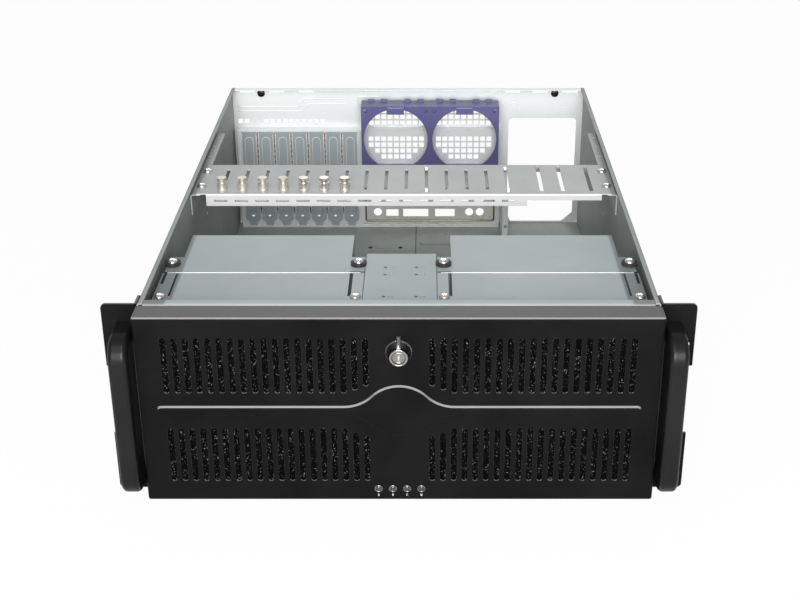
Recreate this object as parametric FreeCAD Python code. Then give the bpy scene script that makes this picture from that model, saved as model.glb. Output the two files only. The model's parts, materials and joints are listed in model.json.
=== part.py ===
import FreeCAD, Part
import math
import os

# An empty four-unit rackmount server case, open at the top, in millimetres.
# X runs to the right seen from the front, Y to the back and Z up.  The origin is in the
# middle of the whole footprint, on the surface that the case stands on.

Vector = FreeCAD.Vector

# ---------------------------------------------------------------- driving dimensions
# Chassis
CASE_WIDTH = 424.0          # outside of the side walls
CASE_HEIGHT = 177.0         # four rack units, less the standard gap
CASE_DEPTH = 565.0          # front panel face to rear panel face
SHEET = 1.2                 # main steel sheet
THIN_SHEET = 1.0            # lighter steel sheet
BEND = 0.8                  # inside radius of every main fold
HEM = 4.5                   # in-turned top edge of a side wall
FIT_GAP = 0.4               # gap round a piece that drops into a window
RUNNING_GAP = 0.05          # radial clearance of a turning or sliding pin

# Rack ears and handles
RACK_WIDTH = 482.6
EAR_SHEET = 2.0
EAR_FLANGE = 29.0           # length of the flange along the side wall
EAR_TAPER = 14.0            # slope at the flange's rear end
EAR_CORNER = 4.0
EAR_LOWER_TAB = CASE_HEIGHT * 0.31
EAR_UPPER_TAB = CASE_HEIGHT * 0.322
EAR_NOTCH_DEPTH = 10.3
RACK_SLOT_SPAN = 465.1
RACK_SLOT_RISE = CASE_HEIGHT - 75.4
RACK_SLOT_WIDTH = 6.8
RACK_SLOT_LENGTH = 10.3
HANDLE_REACH = 41.0         # from the ear's face
HANDLE_WIDTH = 15.4
HANDLE_DEPTH = 12.0
HANDLE_LENGTH = CASE_HEIGHT - 30.0
HANDLE_BEND = 13.0          # centreline radius of a handle's corners
HANDLE_EDGE = 4.0
HANDLE_SIDE_GAP = 1.6       # between the door's side and the handle
HANDLE_SCREW = 2.5
HANDLE_SCREW_BITE = 14.0

# Door
DOOR_OVERHANG = 1.0         # door beyond the chassis on each side
DOOR_BOTTOM = 1.5
DOOR_TOP_GAP = 1.5
DOOR_DEPTH = 20.0
DOOR_BACK_GAP = 1.0         # between the door's rim and the front panel
DOOR_EDGE = 2.2             # outside radius round the door's face
HINGE_AXIS_DEPTH = 4.5      # pivot in front of the front panel
HINGE_AXIS_HEIGHT = 5.0
HINGE_PIN = 2.0
HINGE_EYE = 3.5
DOOR_NOTCH_HEIGHT = 3.0     # relief in a side flange near its lower corner
DOOR_NOTCH_RISE = 14.0

# Vent slots of the door
VENT_WIDTH = 5.0
VENT_PITCH = 9.0
VENT_COUNT = 19
VENT_END_CHORDS = 5
VENT_START = 27.0           # first slot from the middle
VENT_UPPER = (CASE_HEIGHT - 71.0, CASE_HEIGHT - 19.6)
VENT_LOWER = (20.8, CASE_HEIGHT - 104.0)
VENT_UPPER_TRIM = (6.7, 3.0)   # the two innermost upper slots end higher
VENT_LOWER_TRIM = (7.8, 4.6)   # the two innermost lower slots end lower

# Raised band across the door
BAND_CENTRE = CASE_HEIGHT - 87.4
BAND_HALF = 4.7
BAND_LENGTH = 199.0         # half length
BAND_SWELL = 19.6           # how far each edge swings out at the middle
BAND_SWELL_HALF = 45.5      # half width of the swell
BAND_RISE = 1.3

# Lock
LOCK_HEIGHT = CASE_HEIGHT - 32.0
LOCK_ROSE = 11.0            # radius of the base
LOCK_FACE = 7.4             # radius of the front ring
LOCK_REACH = 11.0           # out of the door's face
LOCK_ROSE_RIM = 2.2
LOCK_THREAD = 8.0
LOCK_BARREL = 5.6
LOCK_BODY_LENGTH = 10.0     # behind the door's face sheet
LOCK_NUT_HALF = 10.5
LOCK_NUT = 3.5
LOCK_CAM = 20.0
LOCK_CAM_WIDTH = 11.0
LOCK_CAM_SHEET = 1.5
LOCK_CAM_GAP = 0.4
LOCK_FIN_TOP = 15.0         # fin above the lock's centre
LOCK_FIN_WIDTH = 3.6
KEYWAY_HEIGHT = 6.4
KEYWAY_WIDTH = 1.5
KEYWAY_DEPTH = 5.0
CATCH_HALF = 9.0
CATCH_DROP = 10.0
CATCH_SHEET = 1.2
CATCH_GAP = 1.0             # between the cam and the catch in front of it

# Indicator lamps
LAMP_COUNT = 4
LAMP_PITCH = 12.0
LAMP_HEIGHT = 13.7
LAMP_LENS = 2.5
LAMP_RIM = 3.2
LAMP_RIM_HEIGHT = 0.7
LAMP_LENGTH = 9.0
LAMP_DOME = 0.6             # flat of the domed lens as a share of its radius
LAMP_DOME_RISE = 0.6

# Filter behind the vents
FOAM_INNER = 23.5
FOAM_OUTER = 196.0
FOAM_LOW = 18.5
FOAM_HIGH = CASE_HEIGHT - 15.0
FOAM_THICKNESS = 6.0
SOFT_GAP = 0.3
FRAME_OUTER = 200.0
FRAME_BAR = 6.0
FRAME_COLUMNS = 4
FRAME_ROWS = 3
FRAME_LOCK_HALF = 20.0
FRAME_LOCK_LOW = LOCK_HEIGHT - 23.0

# Front panel, lip and deck
LIP_DEPTH = 9.0
LIP_DROP = 11.0
DECK_SHEET = 1.0
DECK_DEPTH = 80.0
DECK_HALF = 206.0
TONGUE_HALF = 30.8
TONGUE_DEPTH = 119.0
TONGUE_HOLE = 1.7
TONGUE_HOLE_SPREAD = 27.0
TONGUE_HOLE_ROWS = (35.0, 77.0, 91.0)
TONGUE_SLIT = 0.8
TONGUE_SLIT_START = 27.0
DECK_SLOT = 3.0
DECK_SLOT_START = 36.0
SHORT_SLOT = 2.5
SHORT_SLOT_START = 59.0
SHORT_SLOT_PLACE = 202.0
DECK_SCREW_DEPTH = 34.0

# Drive cages
BAY_WIDTH = 146.6           # clear width for a full-size drive
BAY_PITCH = 42.0
BAY_COUNT = 3
CAGE_SHEET = 1.0
CAGE_INNER = 44.0           # inner wall's face from the middle
CAGE_DEPTH = 159.0
CAGE_FRONT_GAP = 0.4
SEAM_GAP = 0.4
CAGE_TAB_DEPTH = 28.0
CAGE_TAB_START = 84.0
CAGE_TAB_GAP = 1.0
CAGE_FOOT = 10.0
CAGE_FOOT_LENGTH = 60.0
RUNNER_RISE = 2.5
RUNNER_HEIGHT = 1.5
RUNNER_LENGTH = 70.0
WASHER_RADIUS = 7.0
WASHER_HEIGHT = 2.4
CAGE_SCREW_DEPTH = 97.0
CAGE_SCREW_INNER = 37.2
CAGE_SCREW_OUTER = 200.4

# Bay covers
COVER_SHEET = 1.5
COVER_RETURN = 14.0
COVER_GRIP_HALF = 16.0
COVER_GRIP_DEPTH = 0.6
COVER_GRIP_HEIGHT = 10.0

# Control plate and its buttons
CONTROL_HALF = 25.0
CONTROL_LOW = CASE_HEIGHT - 115.0
CONTROL_HIGH = CASE_HEIGHT - 55.0
CONTROL_SHEET = 2.0
CONTROL_WINDOW_EDGE = 5.0
POWER_RADIUS = 6.0
POWER_HEIGHT = CONTROL_LOW + 41.0
RESET_RADIUS = 3.0
RESET_HEIGHT = CONTROL_LOW + 17.0
BUTTON_PROUD = 2.4
BUTTON_FLANGE = 1.2
BUTTON_STEM = 7.0

# Card hold-down bar
BAR_SIDE_GAP = 5.8          # between the bar's end and the side wall
BAR_FRONT = 254.0
BAR_WIDTH = 80.0
BAR_TOP = CASE_HEIGHT - 9.0
BAR_SHEET = 1.0
BAR_LIP = 13.0
BAR_LOW_LIP = 7.0
BAR_LOW_LIP_START = 122.0
BAR_REAR_LIP = 8.0
CARD_PITCH = 20.32
BAR_SLOT_FIRST = -181.0
BAR_SLOT_COUNT = 15
BAR_SLOT_START = 265.0
BAR_SLOT_END = 319.0
BAR_SLOT_WIDTH = 3.4
LONG_SLOTS = (137.0, 158.0, 186.0)
LONG_SLOT_START = 261.0
LONG_SLOT_END = 328.0
LONG_SLOT_WIDTH = 4.0
DASH_LENGTH = 13.0
DASH_HEIGHT = 2.0
DASH_DROP = 7.5
DASH_COUNT = 16
BRACKET_WIDTH = 9.5
BRACKET_DROP = 22.0
BRACKET_REAR = CASE_DEPTH - 133.0
BRACKET_HOLE = 2.0
BAR_SCREW_INSET = 2.6

# Sliding clamps with knurled thumbscrews
CLAMP_COUNT = 7
CLAMP_KNOB = 4.8
CLAMP_KNOB_HEIGHT = 6.2
CLAMP_CAP = 4.6
CLAMP_CAP_HEIGHT = 3.6
CLAMP_NECK = 3.4
CLAMP_NECK_HEIGHT = 1.4
CLAMP_COLLAR = 5.4
CLAMP_COLLAR_HEIGHT = 1.2
CLAMP_SHANK_GAP = 0.2
CLAMP_PLATE = 12.0
CLAMP_PLATE_SHEET = 1.5
CLAMP_PLATE_DROP = 7.0

# Rear panel
REAR_HEM = 8.0
RECESS_LEFT = -206.0
RECESS_RIGHT = 112.0
RECESS_TOP = CASE_HEIGHT - 49.0
RECESS_DEPTH = 15.0
SLOT_COUNT = 7
SLOT_FIRST = -192.0
WINDOW_WIDTH = 12.5
WINDOW_LOW = 14.0
WINDOW_HIGH = RECESS_TOP - 10.0
TONGUE_SLOT_COUNT = 14
TONGUE_SLOT_HEIGHT = 5.2
IO_CENTRE = 26.5
IO_WIDTH = 158.75
IO_HEIGHT = 44.45
IO_BOTTOM = 10.0
PSU_LEFT = 122.0
PSU_RIGHT = 204.0
PSU_BOTTOM = 3.0
PSU_TOP = CASE_HEIGHT - 38.0
PSU_CORNER = 5.0
PSU_CHAMFER_HEIGHT = 12.0
PSU_CHAMFER_LEFT = 5.0
PSU_CHAMFER_RIGHT = 13.0
VENT_SQUARE = 5.8
VENT_GRID = 7.6
TOP_SLOTS = (-193.0, -158.0, -122.0, 126.0, 159.0, 195.0)
TOP_SLOT_LENGTH = 19.0
TOP_SLOT_HEIGHT = 3.0
TOP_SLOT_DROP = 5.0
REAR_SCREW_PLACE = 176.5
REAR_SCREW_DROP = 6.5
VENT_ROW_HEIGHT = CASE_HEIGHT - 42.0
VENT_ROW_FIRST = -172.0
VENT_ROW_COUNT = 10
VENT_PAIR = (-203.0, -195.4)

# Slot covers
COVER_WIDTH = 18.4
SLOT_COVER_SHEET = 1.0
SLOT_COVER_LOW = 8.0
SLOT_TAB_REACH = 12.0
EMBOSS_WIDTH = 11.0
EMBOSS_LOW = 22.0
EMBOSS_HIGH = RECESS_TOP - 8.0
EMBOSS_RISE = 0.6
COVER_VEE = 2.4
COVER_VEE_HEIGHT = 15.5

# Fan brackets
FAN_SIZE = 80.0
FAN_WALL = 0.75             # bracket beyond the fan on each side
FAN_OPENING = 38.0
FAN_HOLE_PITCH = 71.5
FAN_HOLE = 2.15
FAN_FACE = 2.0
FAN_LOW = CASE_HEIGHT - 93.0
FAN_HEIGHT = 82.7
FAN_DEPTH = 24.0
FAN_SKIRT = 1.6
CLIP_WIDTH = 20.0
CLIP_REACH = 5.0
CLIP_SHEET = 1.6
CLIP_DROP = 8.0
HOOK_WIDTH = 8.0
HOOK_HEIGHT = 2.2

# Connector shield and power supply support
SHIELD_SHEET = 0.8
SHIELD_MARGIN = 2.4
SHIELD_JACK = 5.0           # radius of a round connector's hole
# Share of the shield's width, then height above its rim, and each window's own size
SHIELD_JACKS = ((0.095, 10.0), (0.095, 27.0), (0.806, 10.0), (0.888, 10.0), (0.888, 27.0))
SHIELD_WINDOWS = (
    (0.208, 9.0, 15.0, 9.0),
    (0.208, 24.0, 15.0, 12.0),
    (0.39, 9.0, 31.0, 10.0),
    (0.39, 24.0, 31.0, 10.0),
    (0.617, 9.0, 24.0, 10.0),
    (0.617, 26.0, 15.0, 13.0),
    (0.756, 27.0, 13.0, 14.0),
)
SUPPORT_HEIGHT = 62.0
SUPPORT_DEPTH = 40.0
SUPPORT_FRONT = CASE_DEPTH - 65.0
SUPPORT_WIDTH = 7.0
SUPPORT_HOLE = 2.2

# Floor stampings
PAD_RISE = 1.5
PAD_CORNER = 6.0
PADS = (
    (37.5, CASE_DEPTH - 91.0, 47.0, 34.0),
    (37.5, CASE_DEPTH - 53.0, 47.0, 34.0),
    (89.0, CASE_DEPTH - 91.0, 46.0, 34.0),
    (89.0, CASE_DEPTH - 53.0, 46.0, 34.0),
    (163.5, CASE_DEPTH - 73.0, 76.0, 72.0),
)
SEAM_PLACE = 8.5
SEAM_WIDTH = 0.8
SEAM_DEPTH = 0.5
FLOOR_HOLE = 1.8
FLOOR_HOLE_ROW = CASE_DEPTH - 77.0
FLOOR_HOLES = (
    (-45.0, FLOOR_HOLE_ROW),
    (-9.0, FLOOR_HOLE_ROW),
    (-45.0, 300.0),
    (-9.0, 300.0),
    (-120.0, FLOOR_HOLE_ROW),
)
SLIDE_HOLE = 2.4
SLIDE_HOLE_HEIGHTS = (CASE_HEIGHT - 107.0, CASE_HEIGHT - 67.0)
SLIDE_HOLE_DEPTHS = (60.0, 200.0, 340.0, CASE_DEPTH - 85.0)

# Pan-head screws
SCREW_HEAD = 4.6
SCREW_HEAD_HEIGHT = 2.8
SCREW_SHANK = 1.9
SCREW_HOLE = 2.1
SCREW_LENGTH = 7.0
SCREW_CROWN = 0.75          # top of the head as a share of its foot

# ---------------------------------------------------------------- derived places
HALF_WIDTH = CASE_WIDTH / 2
INNER_HALF = HALF_WIDTH - SHEET
FRONT = (HANDLE_REACH - CASE_DEPTH) / 2
REAR = FRONT + CASE_DEPTH
REAR_INNER = REAR - SHEET
RECESS_FACE = REAR_INNER - RECESS_DEPTH + SHEET
RECESS_INNER = RECESS_FACE - SHEET
DECK_TOP = CASE_HEIGHT - LIP_DROP
DECK_UNDER = DECK_TOP - DECK_SHEET
DOOR_HALF = HALF_WIDTH + DOOR_OVERHANG
DOOR_TOP = CASE_HEIGHT - DOOR_TOP_GAP
DOOR_BACK = FRONT - DOOR_BACK_GAP
DOOR_FACE = DOOR_BACK - DOOR_DEPTH
DOOR_INNER = DOOR_FACE + SHEET
HINGE_Y = FRONT - HINGE_AXIS_DEPTH
CAGE_OUTER = CAGE_INNER + BAY_WIDTH + 2 * CAGE_SHEET
BAY_TOP = DECK_UNDER
BAY_BOTTOM = BAY_TOP - BAY_COUNT * BAY_PITCH
EAR_OUTER = RACK_WIDTH / 2
HANDLE_INNER = DOOR_HALF + HANDLE_SIDE_GAP
HANDLE_CENTRE = HANDLE_INNER + HANDLE_WIDTH / 2
HANDLE_LOW = (CASE_HEIGHT - HANDLE_LENGTH) / 2
BAR_HALF = INNER_HALF - BAR_SIDE_GAP
BAR_UNDER = BAR_TOP - BAR_SHEET
CAM_BACK = DOOR_INNER + LOCK_BODY_LENGTH + LOCK_CAM_GAP + LOCK_CAM_SHEET
TINY = 0.01

AXES = {"X": Vector(1, 0, 0), "Y": Vector(0, 1, 0), "Z": Vector(0, 0, 1)}


# ---------------------------------------------------------------- shared shapes
def spot(axis, u, v, w):
    """Point at u, v across an axis (in X, Y, Z order) and w along it."""
    if axis == "X":
        return Vector(w, u, v)
    if axis == "Y":
        return Vector(u, w, v)
    return Vector(u, v, w)


def block(x, y, z):
    """Box from three (low, high) pairs."""
    corner = Vector(x[0], y[0], z[0])
    return Part.makeBox(x[1] - x[0], y[1] - y[0], z[1] - z[0], corner)


def rod(axis, u, v, radius, start, end):
    """Cylinder along an axis."""
    return Part.makeCylinder(radius, end - start, spot(axis, u, v, start), AXES[axis])


def prism(axis, corners, start, end):
    """Straight-sided outline drawn out along an axis."""
    points = [spot(axis, u, v, start) for u, v in corners]
    outline = Part.makePolygon(points + [points[0]])
    return Part.Face(outline).extrude(AXES[axis] * (end - start))


def rounded_prism(axis, centre, size, radius, start, end):
    """Rectangle with rounded corners drawn out along an axis."""
    reach_u = size[0] / 2 - radius
    reach_v = size[1] / 2 - radius
    arcs = []
    for quarter, (side_u, side_v) in enumerate(((1, 1), (-1, 1), (-1, -1), (1, -1))):
        turn_u = centre[0] + side_u * reach_u
        turn_v = centre[1] + side_v * reach_v
        arc = []
        for step in range(3):
            angle = math.radians(90 * quarter + 45 * step)
            u = turn_u + radius * math.cos(angle)
            v = turn_v + radius * math.sin(angle)
            arc.append(spot(axis, u, v, start))
        arcs.append(arc)
    edges = []
    for index, arc in enumerate(arcs):
        following = arcs[(index + 1) % len(arcs)][0]
        edges.append(Part.Arc(*arc).toShape())
        if arc[2].distanceToPoint(following) > TINY:
            edges.append(Part.makeLine(arc[2], following))
    return Part.Face(Part.Wire(edges)).extrude(AXES[axis] * (end - start))


def window(axis, centre, size, start, end):
    """Square-cornered window drawn out along an axis."""
    return prism_box(axis, centre[0], centre[1], (size[0] / 2, size[1] / 2), start, end)


def slot(axis, centre, size, start, end):
    """Fully rounded slot drawn out along an axis."""
    return rounded_prism(axis, centre, size, min(size) / 2, start, end)


def fold_side(points, offset, bend_radius):
    """Lines and arcs of one face of a folded sheet, beside its centreline.

    Each fold is an arc about the same centre as the centreline's own arc.
    """
    pieces = []
    along = []
    for first, second in zip(points, points[1:]):
        span = Vector(second[0] - first[0], second[1] - first[1], 0)
        along.append(span.normalize())
    normals = [Vector(-step.y, step.x, 0) for step in along]
    cursor = Vector(points[0][0], points[0][1], 0) + normals[0] * offset
    for index in range(1, len(points) - 1):
        corner = Vector(points[index][0], points[index][1], 0)
        before = along[index - 1]
        after = along[index]
        turn = math.atan2(before.x * after.y - before.y * after.x, before.dot(after))
        side = 1 if turn > 0 else -1
        reach = bend_radius * math.tan(abs(turn) / 2)
        enter = corner - before * reach
        leave = corner + after * reach
        centre = enter + normals[index - 1] * (side * bend_radius)
        outward = (corner - centre).normalize()
        arc_start = enter + normals[index - 1] * offset
        arc_middle = centre + outward * (bend_radius - side * offset)
        arc_end = leave + normals[index] * offset
        pieces.append((cursor, arc_start))
        pieces.append((arc_start, arc_middle, arc_end))
        cursor = arc_end
    last = Vector(points[-1][0], points[-1][1], 0) + normals[-1] * offset
    pieces.append((cursor, last))
    return pieces


def folded_sheet(axis, points, thickness, start, end, bend=BEND):
    """Sheet with rounded folds that follows a centreline, drawn out along an axis."""
    half = thickness / 2
    left = fold_side(points, half, bend + half)
    right = fold_side(points, -half, bend + half)
    pieces = list(left)
    pieces.append((left[-1][-1], right[-1][-1]))
    pieces.extend(tuple(reversed(piece)) for piece in reversed(right))
    pieces.append((right[0][0], left[0][0]))
    edges = []
    for piece in pieces:
        ends = [spot(axis, point.x, point.y, start) for point in piece]
        if len(ends) == 3:
            edges.append(Part.Arc(*ends).toShape())
        elif ends[0].distanceToPoint(ends[1]) > TINY:
            edges.append(Part.makeLine(*ends))
    return Part.Face(Part.Wire(edges)).extrude(AXES[axis] * (end - start))


def lathe(axis, u, v, outline):
    """Solid of revolution about a line along an axis.

    The outline is (radius, distance along the axis) pairs from one end to the other.
    """
    points = [Vector(radius, 0, along) for radius, along in outline]
    points = [Vector(0, 0, outline[0][1])] + points + [Vector(0, 0, outline[-1][1])]
    kept = [points[0]]
    for point in points[1:]:
        if point.distanceToPoint(kept[-1]) > TINY:
            kept.append(point)
    face = Part.Face(Part.makePolygon(kept + [kept[0]]))
    solid = face.revolve(Vector(0, 0, 0), Vector(0, 0, 1), 360)
    if axis == "Y":
        solid.rotate(Vector(0, 0, 0), Vector(1, 0, 0), -90)
    if axis == "X":
        solid.rotate(Vector(0, 0, 0), Vector(0, 1, 0), 90)
    solid.translate(spot(axis, u, v, 0))
    return solid


def mirrored(shape):
    """The same piece on the other side of the case."""
    return shape.mirror(Vector(0, 0, 0), Vector(1, 0, 0))


def pan_screw(axis, u, v, seat, side, length=SCREW_LENGTH):
    """Pan-head screw whose head stands on a seat; side is +1 if the head points along the axis."""
    outline = [
        (SCREW_SHANK, seat - side * length),
        (SCREW_SHANK, seat),
        (SCREW_HEAD, seat),
        (SCREW_HEAD * SCREW_CROWN, seat + side * SCREW_HEAD_HEIGHT),
    ]
    return lathe(axis, u, v, outline)


def prism_box(axis, u, v, reach, start, end):
    """Box about a line along an axis, with its half sizes across that line."""
    corners = (
        (u - reach[0], v - reach[1]),
        (u + reach[0], v - reach[1]),
        (u + reach[0], v + reach[1]),
        (u - reach[0], v + reach[1]),
    )
    return prism(axis, corners, start, end)


# ---------------------------------------------------------------- chassis
def chassis_tub():
    """Floor and both side walls, folded from one sheet, with the tops turned in."""
    side = HALF_WIDTH - SHEET / 2
    path = (
        (-HALF_WIDTH + HEM, CASE_HEIGHT - SHEET / 2),
        (-side, CASE_HEIGHT - SHEET / 2),
        (-side, SHEET / 2),
        (side, SHEET / 2),
        (side, CASE_HEIGHT - SHEET / 2),
        (HALF_WIDTH - HEM, CASE_HEIGHT - SHEET / 2),
    )
    tub = folded_sheet("Y", path, SHEET, FRONT + SHEET, REAR)
    for x, depth, width, length in PADS:
        centre = (x, FRONT + depth)
        raised = rounded_prism("Z", centre, (width, length), PAD_CORNER, 0, SHEET + PAD_RISE)
        inner = (width - 2 * SHEET, length - 2 * SHEET)
        hollow = rounded_prism("Z", centre, inner, PAD_CORNER - SHEET, 0, PAD_RISE)
        tub = tub.fuse(raised).cut(hollow)
    cuts = [
        block(
            (SEAM_PLACE, SEAM_PLACE + SEAM_WIDTH),
            (FRONT + TONGUE_DEPTH, RECESS_INNER - SHEET),
            (SHEET - SEAM_DEPTH, SHEET + TINY),
        )
    ]
    for x, depth in FLOOR_HOLES:
        cuts.append(rod("Z", x, FRONT + depth, FLOOR_HOLE, -TINY, SHEET + TINY))
    for depth in SLIDE_HOLE_DEPTHS:
        for height in SLIDE_HOLE_HEIGHTS:
            place = FRONT + depth
            cuts.append(rod("X", place, height, SLIDE_HOLE, -HALF_WIDTH - TINY, -INNER_HALF + TINY))
            cuts.append(rod("X", place, height, SLIDE_HOLE, INNER_HALF - TINY, HALF_WIDTH + TINY))
    return tub.cut(cuts)


def vent_squares(centres, start, end):
    """Square vent holes through a panel that faces front and back."""
    reach = (VENT_SQUARE / 2, VENT_SQUARE / 2)
    return [prism_box("Y", x, z, reach, start, end) for x, z in centres]


def fan_centres():
    """X of the middle of each fan bracket."""
    spread = FAN_SIZE + 2 * FAN_WALL
    return (IO_CENTRE - spread / 2, IO_CENTRE + spread / 2)


def fan_height():
    """Height of the fans' middle."""
    return FAN_LOW + FAN_HEIGHT / 2


def fan_vents(low, high):
    """Centres of the vent squares that lie inside a fan's circle and between two heights."""
    centres = []
    steps = int(FAN_OPENING / VENT_GRID)
    for middle in fan_centres():
        for column in range(-steps, steps + 1):
            for row in range(-steps, steps + 1):
                x = middle + column * VENT_GRID
                z = fan_height() + row * VENT_GRID
                reach = math.hypot(x - middle, z - fan_height()) + VENT_SQUARE / 2
                inside = reach < FAN_OPENING
                if inside and low < z - VENT_SQUARE / 2 and z + VENT_SQUARE / 2 < high:
                    centres.append((x, z))
    return centres


def psu_window(start, end):
    """Cut-out for the power supply, with round upper and sloped lower corners."""
    centre = ((PSU_LEFT + PSU_RIGHT) / 2, (PSU_BOTTOM + PSU_TOP) / 2)
    size = (PSU_RIGHT - PSU_LEFT, PSU_TOP - PSU_BOTTOM)
    window = rounded_prism("Y", centre, size, PSU_CORNER, start, end)
    left = prism(
        "Y",
        (
            (PSU_LEFT, PSU_BOTTOM),
            (PSU_LEFT + PSU_CHAMFER_LEFT, PSU_BOTTOM),
            (PSU_LEFT, PSU_BOTTOM + PSU_CHAMFER_HEIGHT),
        ),
        start,
        end,
    )
    right = prism(
        "Y",
        (
            (PSU_RIGHT, PSU_BOTTOM),
            (PSU_RIGHT, PSU_BOTTOM + PSU_CHAMFER_HEIGHT),
            (PSU_RIGHT - PSU_CHAMFER_RIGHT, PSU_BOTTOM),
        ),
        start,
        end,
    )
    return window.cut([left, right])


def slot_x(index):
    """X of the middle of an expansion slot."""
    return SLOT_FIRST + index * CARD_PITCH


def rear_panel():
    """Rear panel with its set-back expansion area, cut-outs and vents."""
    outer = SHEET * 2
    low_corner = SHEET
    body = prism(
        "Y",
        (
            (-INNER_HALF + outer, low_corner),
            (INNER_HALF - outer, low_corner),
            (INNER_HALF, low_corner + outer),
            (INNER_HALF, CASE_HEIGHT - outer),
            (-INNER_HALF, CASE_HEIGHT - outer),
            (-INNER_HALF, low_corner + outer),
        ),
        REAR_INNER,
        REAR,
    )
    hem_half = HALF_WIDTH - HEM - FIT_GAP
    hem_path = (
        (REAR - SHEET / 2, CASE_HEIGHT - 3 * outer),
        (REAR - SHEET / 2, CASE_HEIGHT - SHEET / 2),
        (REAR - REAR_HEM, CASE_HEIGHT - SHEET / 2),
    )
    hem = folded_sheet("X", hem_path, SHEET, -hem_half, hem_half)
    recess_x = (RECESS_LEFT, RECESS_RIGHT)
    opening = block(
        (RECESS_LEFT + SHEET, RECESS_RIGHT - SHEET),
        (REAR_INNER - TINY, REAR + TINY),
        (low_corner, RECESS_TOP - SHEET),
    )
    tray = block(recess_x, (RECESS_INNER, REAR_INNER), (low_corner, RECESS_TOP))
    hollow = block(
        (RECESS_LEFT + SHEET, RECESS_RIGHT - SHEET),
        (RECESS_FACE, REAR_INNER + TINY),
        (low_corner - TINY, RECESS_TOP - SHEET),
    )
    panel = body.fuse(hem).cut(opening).fuse(tray.cut(hollow))
    start = RECESS_INNER - TINY
    end = REAR + TINY
    middle = RECESS_FACE + TINY
    cuts = [psu_window(REAR_INNER - TINY, end)]
    for index in range(SLOT_COUNT):
        x = slot_x(index)
        size = (WINDOW_WIDTH, WINDOW_HIGH - WINDOW_LOW)
        cuts.append(window("Y", (x, (WINDOW_LOW + WINDOW_HIGH) / 2), size, start, middle))
        tab_high = RECESS_TOP - SHEET
        tab_low = tab_high - SLOT_COVER_SHEET - FIT_GAP
        tab_reach = COVER_WIDTH / 2 + FIT_GAP
        cuts.append(block((x - tab_reach, x + tab_reach), (start, middle), (tab_low, tab_high)))
    io_centre = (IO_CENTRE, IO_BOTTOM + IO_HEIGHT / 2)
    cuts.append(window("Y", io_centre, (IO_WIDTH, IO_HEIGHT), start, middle))
    for index in range(TONGUE_SLOT_COUNT):
        size = (DASH_LENGTH, DASH_HEIGHT)
        cuts.append(window("Y", (slot_x(index), TONGUE_SLOT_HEIGHT), size, start, middle))
    for x in TOP_SLOTS:
        centre = (x, CASE_HEIGHT - TOP_SLOT_DROP)
        cuts.append(slot("Y", centre, (TOP_SLOT_LENGTH, TOP_SLOT_HEIGHT), REAR_INNER - TINY, end))
    row = [(VENT_ROW_FIRST + index * VENT_GRID, VENT_ROW_HEIGHT) for index in range(VENT_ROW_COUNT)]
    row.extend((x, VENT_ROW_HEIGHT) for x in VENT_PAIR)
    upper = fan_vents(RECESS_TOP + SHEET, CASE_HEIGHT)
    cuts.extend(vent_squares(row + upper, REAR_INNER - TINY, end))
    lower = fan_vents(IO_BOTTOM + IO_HEIGHT, RECESS_TOP - 2 * SHEET)
    cuts.extend(vent_squares(lower, start, middle))
    for side in (-1, 1):
        x = side * REAR_SCREW_PLACE
        height = CASE_HEIGHT - REAR_SCREW_DROP
        cuts.append(rod("Y", x, height, SCREW_HOLE, REAR_INNER - TINY, end))
    return panel.cut(Part.makeCompound(cuts))


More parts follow.
